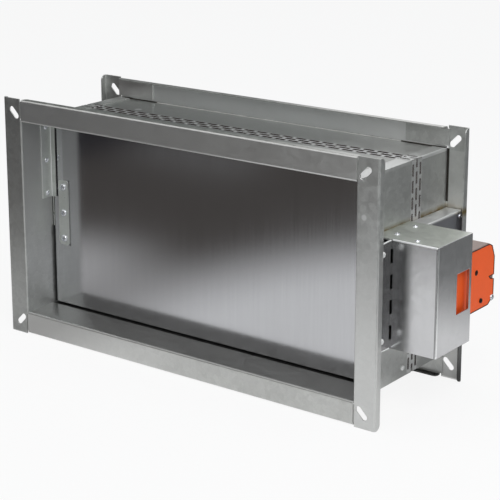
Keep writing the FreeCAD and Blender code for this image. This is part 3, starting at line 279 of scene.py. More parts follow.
def floor_flag(lift):
    """Dark floor round the white patch that the damper stands on, seen only in the gloss."""
    tree = panel("flag_floor", (0, 0, FLOOR + lift), (8, 8))[1]
    coords = object_coords(tree)
    white_patch = {"Vector": coords, "Location": (0.34, -0.1, 0), "Scale": (0.65, 0.75, 1)}
    patch = add_node(tree, "Mapping", white_patch, vector_type="TEXTURE").outputs[0]
    fade = spread(tree, vector_step(tree, "LENGTH", patch), 0, 1, 0.65, 1.2, "SMOOTHSTEP")
    side = spread(tree, object_axes(tree)[0], 0, 1, -0.3, 0.6)
    colour = toward(tree, (0.085, 0.078, 0.073, 1), (0.17, 0.175, 0.175), side)
    near = vector_step(tree, "DISTANCE", coords, (-0.55, -0.1, 0))
    pool = spread(tree, near, 0, 1, 0.35, 0.05, "SMOOTHSTEP")
    lifted = toward(tree, colour, (0.6, 0.6, 0.6), pool)
    clear = add_node(tree, "BsdfTransparent", {}).outputs[0]
    glow = add_node(tree, "Emission", {"Color": lifted}).outputs[0]
    show(tree, mixed(tree, fade, clear, glow))


def make_flags():
    """Dark and pale panels round the set, seen only in the metal's gloss."""
    lift = 0.001
    floor_flag(lift)
    upright = (
        ("flag_left", (-1.6, -1.3, 0.6), (0, 0, 0.6), (3.6, 1.6), (0.06, 0.055, 0.053), 0.2),
        ("flag_right_rear", (1.6, 1.5, 0.6), (0.4, 0.1, 0.6), (2.4, 1.6), (0.15, 0.155, 0.155), 0.2),
        ("flag_rear", (-2.6, 1.9, 1.7), (-2.6, 0.2, 1.7), (3.3, 4.0), (0.06, 0.07, 0.065), 0.3),
        ("flag_right_front", (1.3, -1.1, 0.6), (0, 0, 0.6), (1.6, 1.4), (0.6, 0.61, 0.6), 0.2),
        ("flag_front_high", (1.5, -2.2, 1.15), (0, 0, 1.15), (4.6, 2.2), (0.3, 0.31, 0.305), 0.5),
    )
    for name, place, target, size, colour, soft in upright:
        flag(name, place, target, size, colour, soft)
    flat = (
        ("flag_floor_right", (0.77, -0.45, 2 * lift), (0.72, 0.66), (0.07, 0.07, 0.07), 0.12),
        ("flag_floor_left", (-1.5, -1.25, 2 * lift), (1.1, 1.2), (0.02, 0.02, 0.025), 0.15),
        ("flag_floor_streak", (-0.82, -0.94, 3 * lift), (0.46, 0.26), (0.2, 0.2, 0.2), 0.1),
        # Painted shadow of the cover box on the floor, seen only in the gloss
        ("flag_floor_box", (0.4, 0.22, 2 * lift), (0.3, 0.24), (0.25, 0.25, 0.25), 0.1),
    )
    for name, (x, y, height), size, colour, soft in flat:
        flag(name, (x, y, FLOOR + height), (x, y, 1), size, colour, soft)


# Textures and masks


def noise(tree, size, detail, rough=0.5, stretch=None):
    """Cloudy grey, finer with size, and finer along an axis that has a larger stretch."""
    coords = object_coords(tree)
    if stretch is not None:
        coords = add_node(tree, "Mapping", {"Vector": coords, "Scale": stretch}).outputs[0]
    inputs = {"Vector": coords, "Scale": size, "Detail": detail, "Roughness": rough}
    return add_node(tree, "TexNoise", inputs).outputs["Fac"]


def crystals(tree, size):
    """A random grey for each crystal of the zinc, with wavy borders."""
    coords = object_coords(tree)
    bend = add_node(tree, "TexNoise", {"Vector": coords, "Scale": size * 0.8}).outputs["Color"]
    inputs = {0: bend, "Scale": 0.7 / size}
    push = add_node(tree, "VectorMath", inputs, operation="SCALE").outputs[0]
    bent = vector_step(tree, "ADD", coords, push)
    cells = add_node(tree, "TexVoronoi", {"Vector": bent, "Scale": size}).outputs["Color"]
    return add_node(tree, "SeparateColor", {0: cells}).outputs[0]


def varied(tree, value, amount):
    """A grey texture as a factor that stays within an amount of 1."""
    return spread(tree, value, 1 - amount, 1 + amount)


def band(tree, axis, low, high, soft):
    """1 between two places along an object axis, fading to 0 over soft."""
    along = object_axes(tree)["XYZ".index(axis)]
    rise = spread(tree, along, 0, 1, low - soft, low)
    fall = spread(tree, along, 1, 0, high, high + soft)
    return product(tree, rise, fall)


def field(x, y, z, share=1.0):
    """A mask of a box: for each axis its low end, its high end and its own fade."""

    def mask(tree):
        bands = [band(tree, axis, *limits) for axis, limits in zip("XYZ", (x, y, z))]
        return spread(tree, product(tree, *bands), 0, share)

    return mask


def zone(x, y, z, soft=0.0006, share=1.0):
    """A mask of a box with low and high along each axis and one fade, for marks on a sheet."""
    centre = [(low + high) / 2 for low, high in (x, y, z)]
    half = [(high - low) / 2 for low, high in (x, y, z)]

    def mask(tree):
        away = vector_step(tree, "SUBTRACT", object_coords(tree), centre)
        past = vector_step(tree, "SUBTRACT", vector_step(tree, "ABSOLUTE", away), half)
        axes = add_node(tree, "SeparateXYZ", {0: past}).outputs
        return spread(tree, joined(tree, "MAXIMUM", *axes), share, 0, 0, soft)

    return mask


def spot(place, radius, share=1.0):
    """A mask of a round spot."""

    def mask(tree):
        far = vector_step(tree, "DISTANCE", object_coords(tree), place)
        return spread(tree, far, share, 0, radius * 0.6, radius)

    return mask


def edge_mask(tree, radius):
    """Where the sheet's edges and folds are, for colours along them such as the painted edge
    highlight, and the normal that rounds them.
    """
    bevel = add_node(tree, "Bevel", {"Radius": radius}, samples=6).outputs[0]
    normal = add_node(tree, "NewGeometry", {}).outputs["Normal"]
    dot = vector_step(tree, "DOT_PRODUCT", bevel, normal)
    return spread(tree, dot, 1, 0, 0.75, 0.98), bevel


def console_stain(tree):
    """A golden brown stain on the wall and the rear flange, just above the console."""
    cloud = spread(tree, noise(tree, 60, 3), 0.5, 1, 0.35, 0.6)
    height = band(tree, "Z", CONSOLE_TOP - 0.002, CONSOLE_TOP + 0.0005, 0.007)
    outside = band(tree, "X", WALL + 0.001, WALL + 0.1, 0.0003)
    length = band(tree, "Y", 0.02, REAR - 0.0013, 0.0004)
    return product(tree, height, outside, length, cloud)


def slit_edge_shade(tree):
    """Painted shade round the edges of the three rows of slits."""
    rows = band(tree, "Y", SLIT_ROWS[0] - 0.0045, SLIT_ROWS[2] + 0.0045, 0.0004)
    return product(tree, edge_mask(tree, 0.003)[0], rows)


def rear_flange(tree):
    """The top rear flange's face, for a painted highlight that grows towards the drive."""
    along = spread(tree, band(tree, "X", 0.32, 0.4, 0.62), 0.85, 1)
    face = band(tree, "Y", REAR - 0.0032, REAR - 0.001, 0.0003)
    height = band(tree, "Z", ROOF + 0.0035, TOP + PAST, 0.0005)
    return product(tree, along, face, height)


def dashes(tree):
    """Painted shade round each slit of the top wall, a little wider than the slits."""
    turn = SLIT_PITCH / 2
    reach = SLIT_LENGTH / 2 + 0.0002
    side = SLIT_WIDTH / 2 + 0.001
    fade = 0.0012
    inputs = {0: object_axes(tree)[0], 1: turn}
    wave = add_node(tree, "Math", inputs, operation="PINGPONG").outputs[0]
    middle = spread(tree, wave, 1, 0, reach, reach + fade)
    outer = spread(tree, wave, 0, 1, turn - reach - fade, turn - reach)
    rows = []
    for y, along in zip(SLIT_ROWS, (outer, middle, outer)):
        rows.append(product(tree, along, band(tree, "Y", y - side, y + side, fade / 2)))
    return joined(tree, "MAXIMUM", *rows)


# Materials


def start_material(name):
    """A new material with its node tree and its shader."""
    material = bpy.data.materials.new(name)
    material.use_nodes = True
    tree = material.node_tree
    return material, tree, tree.nodes["Principled BSDF"]


def marked(tree, base, marks):
    """The base colour with marks over it, each a colour and a mask."""
    for colour, mask in marks:
        base = toward(tree, base, colour, mask(tree))
    return base


def set_bump(tree, shader, height, depth, normal, strength):
    """Unevenness of the surface, on top of the rounded edges."""
    inputs = {"Height": height, "Distance": depth, "Normal": normal, "Strength": strength}
    tree.links.new(add_node(tree, "Bump", inputs).outputs[0], shader.inputs["Normal"])


def galvanised(
    name,
    colour,
    rough=0.38,
    spangle=0.06,
    grain=(60, 60, 60),
    streak=0.03,
    wave=0.0004,
    marks=(),
    metallic=0.9,
    edge=WEAR_AND_SHEEN,
    dull=None,
):
    """Zinc-coated sheet: faint crystals, clouds, rolling marks and bright edges, partly worn zinc
    and partly a painted highlight.

    Each mark is a colour and a mask. Where the mask in dull is 1, the metal has no shine.
    """
    material, tree, shader = start_material(name)
    greys = (
        varied(tree, crystals(tree, LARGE_CRYSTALS), spangle),
        varied(tree, crystals(tree, SMALL_CRYSTALS), spangle / 2),
        varied(tree, noise(tree, 14, 5), 0.12),
        varied(tree, noise(tree, 1, 2, stretch=grain), streak),
    )
    edge_band, rounded = edge_mask(tree, 0.0007)
    base = tinted(tree, colour, product(tree, *greys))
    # Edges lighter: worn zinc, and a painted highlight
    base = toward(tree, base, edge, product(tree, edge_band, noise(tree, 90, 2)))
    tree.links.new(marked(tree, base, marks), shader.inputs["Base Color"])
    gloss = spread(tree, crystals(tree, LARGE_CRYSTALS), rough - 0.03, rough + 0.05)
    smear = spread(tree, noise(tree, 11, 4), -0.04, 0.05)
    tree.links.new(joined(tree, "ADD", gloss, smear), shader.inputs["Roughness"])
    shader.inputs["Metallic"].default_value = metallic
    if dull is not None:
        mask = dull(tree)
        tree.links.new(spread(tree, mask, metallic, 0), shader.inputs["Metallic"])
        tree.links.new(spread(tree, mask, 0.5, 0), shader.inputs["Specular IOR Level"])
    set_bump(tree, shader, noise(tree, 9, 2), wave, rounded, 0.6)
    return material


def brushed(name, colour, along, rough, contrast=0.08, depth=0.00004, marks=()):
    """Bright sheet or turned steel with fine marks along one axis, and a painted highlight along its
    edges.
    """
    material, tree, shader = start_material(name)
    stretch = [420, 420, 420]
    stretch["xyz".index(along)] = 6
    fine = varied(tree, noise(tree, 1, 3, 0.6, stretch), contrast)
    cloud = varied(tree, noise(tree, 7, 3), 0.05)
    edge_band, rounded = edge_mask(tree, 0.0004)
    base = tinted(tree, colour, product(tree, fine, cloud))
    # Edges lighter as a painted highlight
    base = toward(tree, base, (0.88, 0.88, 0.88), product(tree, edge_band, noise(tree, 90, 2)))
    tree.links.new(marked(tree, base, marks), shader.inputs["Base Color"])
    gloss = spread(tree, noise(tree, 1.7, 2, stretch=stretch), rough - 0.03, rough + 0.05)
    tree.links.new(gloss, shader.inputs["Roughness"])
    shader.inputs["Metallic"].default_value = 1
    set_bump(tree, shader, noise(tree, 1, 2, stretch=stretch), depth, rounded, 0.5)
    return material


def moulded(
    name, colour, rough, grain=900, depth=0.00005, rim=None, rim_width=0.0005, shine=0.5
):
    """Plastic, rubber or board: a fine grain and faint unevenness of colour and gloss."""
    material, tree, shader = start_material(name)
    cloud = varied(tree, noise(tree, 30, 4), 0.08)
    speck = varied(tree, noise(tree, grain, 2), 0.05)
    edge_band, rounded = edge_mask(tree, rim_width)
    base = tinted(tree, colour, product(tree, cloud, speck))
    if rim is not None:
        base = toward(tree, base, rim, edge_band)
    tree.links.new(base, shader.inputs["Base Color"])
    gloss = spread(tree, noise(tree, grain / 3, 2), rough - 0.07, rough + 0.08)
    tree.links.new(gloss, shader.inputs["Roughness"])
    shader.inputs["Specular IOR Level"].default_value = shine
    set_bump(tree, shader, noise(tree, grain, 2), depth, rounded, 0.5)
    return material


def dress(material, *names):
    """Gives nodes of the model a material in place of their own."""
    for name in names:
        mesh = NODES[name].data
        mesh.materials.clear()
        mesh.materials.append(material)


# Marks that several sheets share

# Painted highlight on the sheet round the rows of slits
BETWEEN_SLITS = (
    PALE,
    zone(
        (-WALL - 0.01, WALL + 0.01),
        (SLIT_ROWS[0] - 0.0035, SLIT_ROWS[2] + 0.0035),
        (-ROOF - 0.01, ROOF + 0.01),
        share=0.65,
    ),
)
# Painted shade round the slits
SLIT_SHADE_MARK = (SLIT_SHADE_COLOUR, slit_edge_shade)


def blade_gaps():
    """Painted shade in the gap between the blade's end and each side wall, below the bearing."""
    front, rear = (corner[1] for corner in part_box("blade_core"))
    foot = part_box("bearing_left")[0][2] - 0.0005
    marks = []
    for x in (-WALL, WALL):
        # Painted shade in the gap
        gap = zone(
            (x - 0.0005, x + 0.0005), (front, rear), (-ROOF + 0.002, foot), soft=0.001, share=0.6
        )
        marks.append((PAINTED_SHADE, gap))
    return marks


# Materials of the casing


def dress_left_wall():
    """Left side wall: painted shade inside, in front of the blade, and a painted highlight on a tab
    at the rear.
    """
    inside = (-WALL - 0.0006, -WALL + SHEET, 0.0003)
    # Painted shade on the inside of the wall in front of the blade
    before_blade = field(inside, (0.0006, 0.062, 0.0005), (0.05, ROOF, 0.12))
    tab_face = (REAR - 0.0038, REAR - 0.0025)
    tab_height = (ROOF + 0.0035, TOP + PAST)
    # Painted highlight on a tab of the rear flange
    tab = zone((-EDGE - PAST, -0.22), tab_face, tab_height, soft=0.0005, share=0.8)
    marks = [
        ((0.45, 0.455, 0.445), before_blade),
        (LIGHT_ZINC, tab),
        BETWEEN_SLITS,
        SLIT_SHADE_MARK,
        *blade_gaps(),
    ]
    wall = galvanised(
        "zinc_left_wall", (0.53, 0.54, 0.53), grain=GRAIN_UP, marks=marks, dull=slit_edge_shade
    )
    dress(wall, "casing_left")


def dress_right_wall():
    """Right side wall: painted highlights on the folds and posts, painted shade on the rear lip, the
    stain over the console and dark joints.
    """
    lap_top = ROOF + 0.006
    fold_end = WALL + 0.0045
    lip_side = REAR - 0.0025
    post_side = REAR - 0.0013
    # Painted highlights along the rear fold and the front lap
    rear_fold = zone((WALL - 0.002, WALL + 0.004), (0.16, REAR - SHEET), (ROOF - 0.0008, lap_top))
    front_lap = zone(
        (WALL - 0.038, WALL + 0.0005),
        (0.012, SLIT_ROWS[0] - 0.01),
        (ROOF + 0.0012, lap_top),
        soft=0.004,
        share=0.6,
    )
    rear_joint = zone(
        (WALL - 0.0006, fold_end),
        (REAR - 0.0027, post_side),
        (CONSOLE_TOP + 0.008, ROOF + 0.002),
        soft=0.0003,
    )
    # Painted highlights on the faces of the front and rear posts
    front_post = zone(
        (WALL - 0.01, EDGE + PAST), FRONT_FACE, (FLOOR - PAST, 0.02), soft=0.05, share=0.5
    )
    rear_post = zone(
        (fold_end, EDGE + PAST), (lip_side, post_side), (FLOOR - PAST, ROOF), soft=0.0005, share=0.5
    )
    # Painted shade on the rear lip
    rear_lip = zone(
        (EDGE - 0.0025, EDGE + PAST), (REAR - 0.013, lip_side), (FLOOR - PAST, -0.13), share=0.85
    )
    marks = [
        ((0.26, 0.2, 0.085), console_stain),
        (PALE, rear_fold),
        (PALE, front_lap),
        (JOINT, rear_joint),
        (LIGHT_ZINC, front_post),
        (LIGHT_ZINC, rear_post),
        (PAINTED_SHADE, rear_lip),
        (PALE, spot((0.3122, 0, 0.105), 0.0048, 0.9)),
        BETWEEN_SLITS,
        SLIT_SHADE_MARK,
        *blade_gaps(),
    ]
    wall = galvanised(
        "zinc_right_wall", (0.56, 0.57, 0.56), grain=GRAIN_UP, marks=marks, dull=slit_edge_shade
    )
    dress(wall, "casing_right")


def dress_top_wall():
    """Top wall: painted shade under the roof, two weld spots, painted highlights on the flanges and
    dark joints at the rear.
    """
    roof_length = (0.01, REAR - 0.0035, 0.0005)
    # Painted shade under the roof, towards the left
    roof = field((-0.32, 0.08, 0.25), roof_length, (ROOF, ROOF + 0.0025, 0.0003), share=0.8)
    # Painted highlight on the front flange
    flange = zone((-EDGE - PAST, EDGE + PAST), FRONT_FACE, (ROOF, TOP + PAST), soft=0.0004)
    joint_face = (REAR - 0.0034, REAR - 0.0013)
    joint_height = (ROOF, ROOF + 0.0028)
    joint = 0.074
    right_joint = zone((WALL - joint, WALL), joint_face, joint_height, soft=0.0003)
    left_joint = zone((-WALL, -WALL + joint), joint_face, joint_height, soft=0.0003)
    marks = [
        # painted highlight on the rear flange's face
        ((0.82, 0.83, 0.83), rear_flange),
        ((0.36, 0.38, 0.37), roof),
        ((0.68, 0.685, 0.675), flange),
        (PALE, spot((0.2868, 0.2095, ROOF + SHEET), 0.005, 0.8)),
        (PALE, spot((-0.2165, 0.1722, ROOF + SHEET), 0.007, 0.8)),
        (JOINT, right_joint),
        (JOINT, left_joint),
        BETWEEN_SLITS,
        # painted shade round each slit
        (SLIT_SHADE_COLOUR, dashes),
    ]
    wall = galvanised(
        "zinc_top_wall",
        (0.54, 0.545, 0.53),
        rough=0.33,
        grain=GRAIN_ACROSS,
        marks=marks,
        metallic=0.87,
        dull=dashes,
    )
    dress(wall, "casing_top")


def dress_bottom_wall():
    """Bottom wall: painted shade inside, a painted shadow under the blade, a painted highlight on
    the flange and painted shade on the rear lip.
    """
    blade_front = 0.0585
    across = (-WALL, WALL)
    # Painted shade on the inside of the wall in front of the blade
    before_blade = zone(
        across, (0.0008, blade_front), (-ROOF - 0.0008, -ROOF + SHEET), soft=0.0005
    )
    # Painted shadow under the blade
    under_blade = zone(
        across, (blade_front, 0.094), (-ROOF - 0.001, -ROOF + 0.0022), soft=0.001, share=0.85
    )
    # Painted highlight on the front flange
    flange_height = (FLOOR - PAST, -ROOF - SHEET, 0.0003)
    flange = field((-EDGE - PAST, -WALL, 0.35), (*FRONT_FACE, 0.0003), flange_height, share=0.9)
    # Painted shade on the rear lip
    rear_lip = zone(
        (-EDGE - PAST, EDGE + PAST),
        (0.21, REAR - 0.0032),
        (FLOOR - PAST, FLOOR + 0.0055),
        soft=0.0008,
        share=0.85,
    )
    marks = [
        BETWEEN_SLITS,
        SLIT_SHADE_MARK,
        ((0.46, 0.465, 0.455), before_blade),
        (PAINTED_SHADE, under_blade),
        (LIGHT_ZINC, flange),
        (PAINTED_SHADE, rear_lip),
    ]
    wall = galvanised(
        "zinc_bottom_wall",
        (0.54, 0.545, 0.53),
        rough=0.33,
        grain=GRAIN_ACROSS,
        marks=marks,
        edge=(0.3, 0.3, 0.3),
        dull=slit_edge_shade,
    )
    dress(wall, "casing_bottom")


def dress_stops():
    """Stop angles, with a painted highlight along the fold and the edge of the upper ones."""
    front, rear = (corner[1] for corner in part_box("stop_upper_right"))
    height = (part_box("stop_upper_right")[0][2] - 0.001, ROOF)
    marks = []
    for x in (-WALL + SHEET, WALL - SHEET):
        for y in (front + 0.00025, rear - 0.00175):
            width = (x - 0.0008, x + 0.0008)
            # Painted highlight line
            line = zone(width, (y - 0.0006, y + 0.0006), height, soft=0.0004, share=0.7)
            marks.append((PALE, line))
    dress(
        galvanised("zinc_stops", (0.62, 0.64, 0.62), spangle=0.04, marks=marks),
        "stop_upper_left",
        "stop_upper_right",
        "stop_lower_left",
        "stop_lower_right",
        "stop_top",
        "stop_bottom",
    )


# Materials of the drive side


def dress_cover():
    """Cover: painted highlights on the outer folds with a painted line of shade beside them, and a
    fixing tab darkened as painted shade.
    """
    front = (0.04, 0.0445)
    height = (-0.09, 0.07)
    fine = 0.0004
    # Painted shade beside the outer fold
    groove = zone((COVER_FACE - 0.003, COVER_FACE - 0.0018), front, height, soft=fine, share=0.7)
    # Painted highlight on the outer fold
    fold = zone((COVER_FACE - 0.0014, COVER_FACE + 0.0108), (0.04, 0.0444), height, soft=fine)
    tab_sheet = (CONSOLE_FACE - 0.0008, CONSOLE_FACE + 0.0019)
    # Painted shade on the fixing tab
    tab = zone(tab_sheet, (0, COVER_FRONT), (-0.09, 0.08), soft=fine, share=0.55)
    marks = [((0.12, 0.12, 0.12), groove), (PALE, fold), ((0.25, 0.25, 0.25), tab)]
    cover = galvanised(
        "zinc_cover",
        (0.63, 0.63, 0.64),
        rough=0.2,
        spangle=0.02,
        grain=GRAIN_UP,
        wave=0.0001,
        marks=marks,
        metallic=0.95,
    )
    dress(cover, "cover_box")


def dress_console():
    """Console: painted highlights on the upper fold and the top leg, bluish painted shade on the web
    behind the cover, and a painted shadow in the cover's fold slots at the front.
    """
    face = CONSOLE_FACE - 0.0008
    ridge = CONSOLE_TOP + SHEET
    length = (0.04, 0.3)
    # Painted highlight on the upper fold
    fold = zone((face - 0.0015, face + 0.0035), length, (CONSOLE_TOP - 0.002, ridge))
    web_height = (-0.08, CONSOLE_TOP - 0.004)
    # Painted shade on the web behind the cover
    web = zone((face, face + 0.0025), (0.133, length[1]), web_height, soft=0.001, share=0.8)
    # Painted highlight on the top leg
    leg = zone((WALL, face - 0.001), length, (CONSOLE_TOP - 0.0008, ridge), share=0.7)
    slots_height = (-0.09, CONSOLE_TOP - SHEET)
    # Painted shadow in the cover's fold slots
    behind_slots = zone((face, face + SHEET), (0.034, 0.055), slots_height, soft=0.001)
    marks = [
        (PALE, fold),
        ((0.3, 0.31, 0.35), web),
        ((0.85, 0.86, 0.86), leg),
        ((0.01, 0.01, 0.01), behind_slots),
    ]
    console = galvanised(
        "zinc_console",
        (0.6, 0.6, 0.61),
        rough=0.36,
        spangle=0.005,
        grain=GRAIN_ALONG,
        streak=0.02,
        wave=0.00002,
        marks=marks,
        edge=(0.6, 0.6, 0.6),
    )
    dress(console, "console")


def dress_lids():
    """Top and bottom plate of the cover, with a painted highlight on the outer edge and a painted
    shadow on the front edge.
    """
    height = (CONSOLE_TOP - 0.002, CONSOLE_TOP + 0.004)
    # Painted highlight on the outer edge
    outer = zone((COVER_FACE - 0.0018, COVER_FACE + 0.0108), (0.03, 0.14), height, soft=0.0004)
    front_edge = (COVER_FRONT + 0.001, COVER_FRONT + 0.0032)
    # Painted shadow on the front edge
    front = zone((0.33, COVER_FACE - 0.0007), front_edge, height, soft=0.0005, share=0.75)
    lids = galvanised(
        "zinc_lids",
        (0.66, 0.69, 0.64),
        rough=0.36,
        spangle=0.03,
        grain=GRAIN_ACROSS,
        marks=[(PALE, outer), ((0.1, 0.1, 0.1), front)],
    )
    dress(lids, "cover_top_plate", "cover_bottom_plate")


def dress_drive():
    """Actuator: pale housing, orange plate with a dark rim, and black mouldings."""
    housing = moulded("pale_housing", (0.3, 0.225, 0.2), rough=0.45)
    dress(housing, "drive_housing")
    orange = moulded(
        "orange_plate", (1, 0.12, 0.01), rough=0.5, rim=(0.03, 0.008, 0.005), rim_width=0.0013
    )
    dress(orange, "drive_face_plate")
    black = moulded("black_moulding", (0.02, 0.02, 0.021), rough=0.4)
    dress(black, "drive_sleeve", "position_pointer", "thermal_fuse")


# Materials of the blade and its bearings


def dress_blade():
    """Facings with a painted shadow beside each strap, the board between them and the straps."""
    marks = []
    for x in (-STRAP_EDGE, STRAP_EDGE):
        height = (-STRAP_TOP - 0.001, STRAP_TOP + 0.001)
        # Painted shadow beside the strap
        shadow = zone((x - 0.0014, x + 0.0014), (0.06, 0.063), height, share=0.65)
        marks.append((PAINTED_SHADE, shadow))
    skin = brushed(
        "blade_facing",
        (0.54, 0.543, 0.56),
        "z",
        rough=0.14,
        contrast=0.05,
        depth=0.00001,
        marks=marks,
    )
    dress(skin, "blade_front_skin", "blade_rear_skin")
    board = moulded("silicate_board", (0.62, 0.6, 0.55), rough=0.85, grain=350, depth=0.0002)
    dress(board, "blade_core")
    strap = galvanised(
        "strap_zinc",
        (0.66, 0.68, 0.66),
        rough=0.3,
        spangle=0.03,
        grain=GRAIN_UP,
        edge=(0.5, 0.5, 0.5),
    )
    dress(
        strap,
        "hinge_strap_left_front",
        "hinge_strap_left_rear",
        "hinge_strap_right_front",
        "hinge_strap_right_rear",
    )


def dress_bearings():
    """Bearing plates, with painted shade where they meet the wall and the end of the blade."""
    at_wall = WALL - 0.0006
    at_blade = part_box("bearing_right")[0][0] + 0.0004
    marks = []
    for x in (-at_wall, -at_blade, at_blade, at_wall):
        # Painted shade in the joint
        joint = zone((x - 0.0006, x + 0.0006), (0.05, 0.1), (-0.03, 0.03), soft=0.0002)
        marks.append((PAINTED_SHADE, joint))
    plate = galvanised("bearing_zinc", (0.66, 0.68, 0.66), rough=0.3, spangle=0.03, marks=marks)
    dress(plate, "bearing_left", "bearing_right")
    steel = brushed("turned_steel", (0.6, 0.6, 0.61), "x", rough=0.28)
    dress(steel, "pivot_pin_left", "drive_shaft")


# Materials of the small parts


def dress_small_parts():
    """Fasteners, seals and strips. The bright zinc, whiter than the casing as a painted highlight,
    is for the small pieces made below.
    """
    plated = brushed("plated_fasteners", (0.74, 0.76, 0.8), "y", rough=0.25, contrast=0.12)
    dress(
        plated,
        "blade_bolts",
        "blade_nuts",
        "stop_rivets",
        "console_rivets",
        "cover_rivets",
        "cover_screws",
        "drive_mounting_screws",
        "bearing_clips",
    )
    black = moulded("black_screws", (0.009, 0.008, 0.008), rough=0.35, shine=0.15)
    dress(black, "drive_face_screws")
    rubber = moulded("black_rubber", (0.012, 0.012, 0.013), rough=0.62)
    dress(rubber, "blade_edge_seal", "cable_grommet")
    dress(
        moulded("swelling_strip", (0.06, 0.035, 0.025), rough=0.75, grain=500, depth=0.0001),
        "intumescent_strip_top",
        "intumescent_strip_bottom",
        "intumescent_strip_left",
        "intumescent_strip_right",
    )
    # Near-white zinc: a painted highlight on the hems and on a few screws
    galvanised(
        "bright_hem", (0.95, 0.96, 0.96), rough=0.45, spangle=0.02, wave=0.0001, metallic=0.6
    )


# Small pieces, most of them in place of plain ones

# Half outlines of heads as radius and height, stretched to the size of each head
RIVET = (
    (4, 0),
    (3.95, 0.4),
    (3.6, 0.9),
    (2.9, 1.3),
    (1.9, 1.55),
    (1.35, 1.6),
    (1.1, 1.45),
    (0.9, 0.9),
    (0, 0.8),
)
PAN = ((5.75, 0), (5.75, 0.9), (5.45, 1.75), (4.7, 2.45), (3.4, 2.85), (1.8, 3), (0, 3))
SQUARE = ((-1, -1), (1, -1), (1, 1), (-1, 1))
TO_DRIVE = (1, 0, 0)
TO_FRONT = (0, -1, 0)


def node_shape(name):
    """The mesh of a node, with its corners joined."""
    shape = bmesh.new()
    shape.from_mesh(NODES[name].data)
    bmesh.ops.remove_doubles(shape, verts=shape.verts, dist=1e-6)
    return shape


def islands(name):
    """Lowest and highest corner of each separate solid of a node."""
    shape = node_shape(name)
    left = set(shape.verts)
    found = []
    while left:
        todo = [left.pop()]
        piece = []
        while todo:
            vert = todo.pop()
            piece.append(vert.co.copy())
            for edge in vert.link_edges:
                other = edge.other_vert(vert)
                if other in left:
                    left.remove(other)
                    todo.append(other)
        low = Vector([min(point[n] for point in piece) for n in range(3)])
        high = Vector([max(point[n] for point in piece) for n in range(3)])
        found.append((low, high))
    shape.free()
    return sorted(found, key=lambda pair: tuple(round(number, 5) for number in pair[0]))


def facing(place, direction):
    """The move that puts a piece at a place with its Z along a direction."""
    turn = Vector(direction).to_track_quat("Z", "Y").to_matrix().to_4x4()
    return Matrix.Translation(Vector(place)) @ turn


def circle(shape, move, radius, height, steps):
    """A ring of vertices round an axis, or one vertex where the radius is 0."""
    if radius == 0:
        return [shape.verts.new(move @ Vector((0, 0, height)))]
    angles = [2 * math.pi * n / steps for n in range(steps)]
    points = [Vector((radius * math.cos(a), radius * math.sin(a), height)) for a in angles]
    return [shape.verts.new(move @ point) for point in points]


def bridge(shape, low, high):
    """Faces from one ring to the next, either of which can be one vertex on the axis."""
    steps = max(len(low), len(high))
    for n in range(steps):
        m = (n + 1) % steps
        if len(low) == 1:
            shape.faces.new((low[0], high[n], high[m]))
        elif len(high) == 1:
            shape.faces.new((low[n], low[m], high[0]))
        else:
            shape.faces.new((low[n], low[m], high[m], high[n]))


def lathe(shape, profile, place, direction, steps=28):
    """Turns a profile of radius and height about a direction, closed at the axis."""
    move = facing(place, direction)
    rings = [circle(shape, move, radius, height, steps) for radius, height in profile]
    for low, high in zip(rings, rings[1:]):
        bridge(shape, low, high)


def finish_piece(shape, name, body, material, smooth=40):
    """Makes a piece of the shape, smooth below an angle, that rides on a body."""
    bmesh.ops.recalc_face_normals(shape, faces=shape.faces)
    mesh = bpy.data.meshes.new(name)
    shape.to_mesh(mesh)
    shape.free()
    for face in mesh.polygons:
        face.use_smooth = True
    mesh.set_sharp_from_angle(angle=math.radians(smooth))
    mesh.materials.append(bpy.data.materials[material])
    piece = bpy.data.objects.new(name, mesh)
    scene.collection.objects.link(piece)
    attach(piece, body)
    return piece


def scaled(profile, radius, height):
    """The profile in metres, stretched to a head's radius and height."""
    wide = max(point[0] for point in profile)
    high = max(point[1] for point in profile)
    return [(point[0] / wide * radius, point[1] / high * height) for point in profile]


def head_of(low, high, axis, way):
    """Place, direction, radius and height of a head from its box and the way that it faces."""
    place = (low + high) / 2
    place[axis] = low[axis] if way > 0 else high[axis]
    across = (axis + 1) % 3
    radius = (high[across] - low[across]) / 2
    direction = Vector([way if n == axis else 0 for n in range(3)])
    return place, direction, radius, high[axis] - low[axis]


def add_cross(cutter, place, direction, radius, height):
    """A tapered cross recess in the top of a head."""
    move = facing(place, direction)
    long = radius * 0.56
    wide = radius * 0.13
    above = height * 1.3
    deep = height * 0.35
    for x, y in ((long, wide), (wide, long)):
        top = [Vector((a * x, b * y, above)) for a, b in SQUARE]
        low = [Vector((a * x * 0.55, b * y * 0.7, deep)) for a, b in SQUARE]
        top = [cutter.verts.new(move @ point) for point in top]
        low = [cutter.verts.new(move @ point) for point in low]
        cutter.faces.new(top)
        cutter.faces.new(low[::-1])
        for n in range(4):
            m = (n + 1) % 4
            cutter.faces.new((top[n], low[n], low[m], top[m]))


def cut(piece, shape):
    """Takes the shape out of the piece."""
    bmesh.ops.recalc_face_normals(shape, faces=shape.faces)
    mesh = bpy.data.meshes.new("cutter")
    shape.to_mesh(mesh)
    shape.free()
    cutter = bpy.data.objects.new("cutter", mesh)
    scene.collection.objects.link(cutter)
    step = piece.modifiers.new("cut", "BOOLEAN")
    step.operation = "DIFFERENCE"
    step.solver = "EXACT"
    step.use_self = True
    step.object = cutter
    bpy.context.view_layer.update()
    graph = bpy.context.evaluated_depsgraph_get()
    result = bpy.data.meshes.new_from_object(piece.evaluated_get(graph))
    piece.modifiers.clear()
    piece.data = result
    bpy.data.objects.remove(cutter)


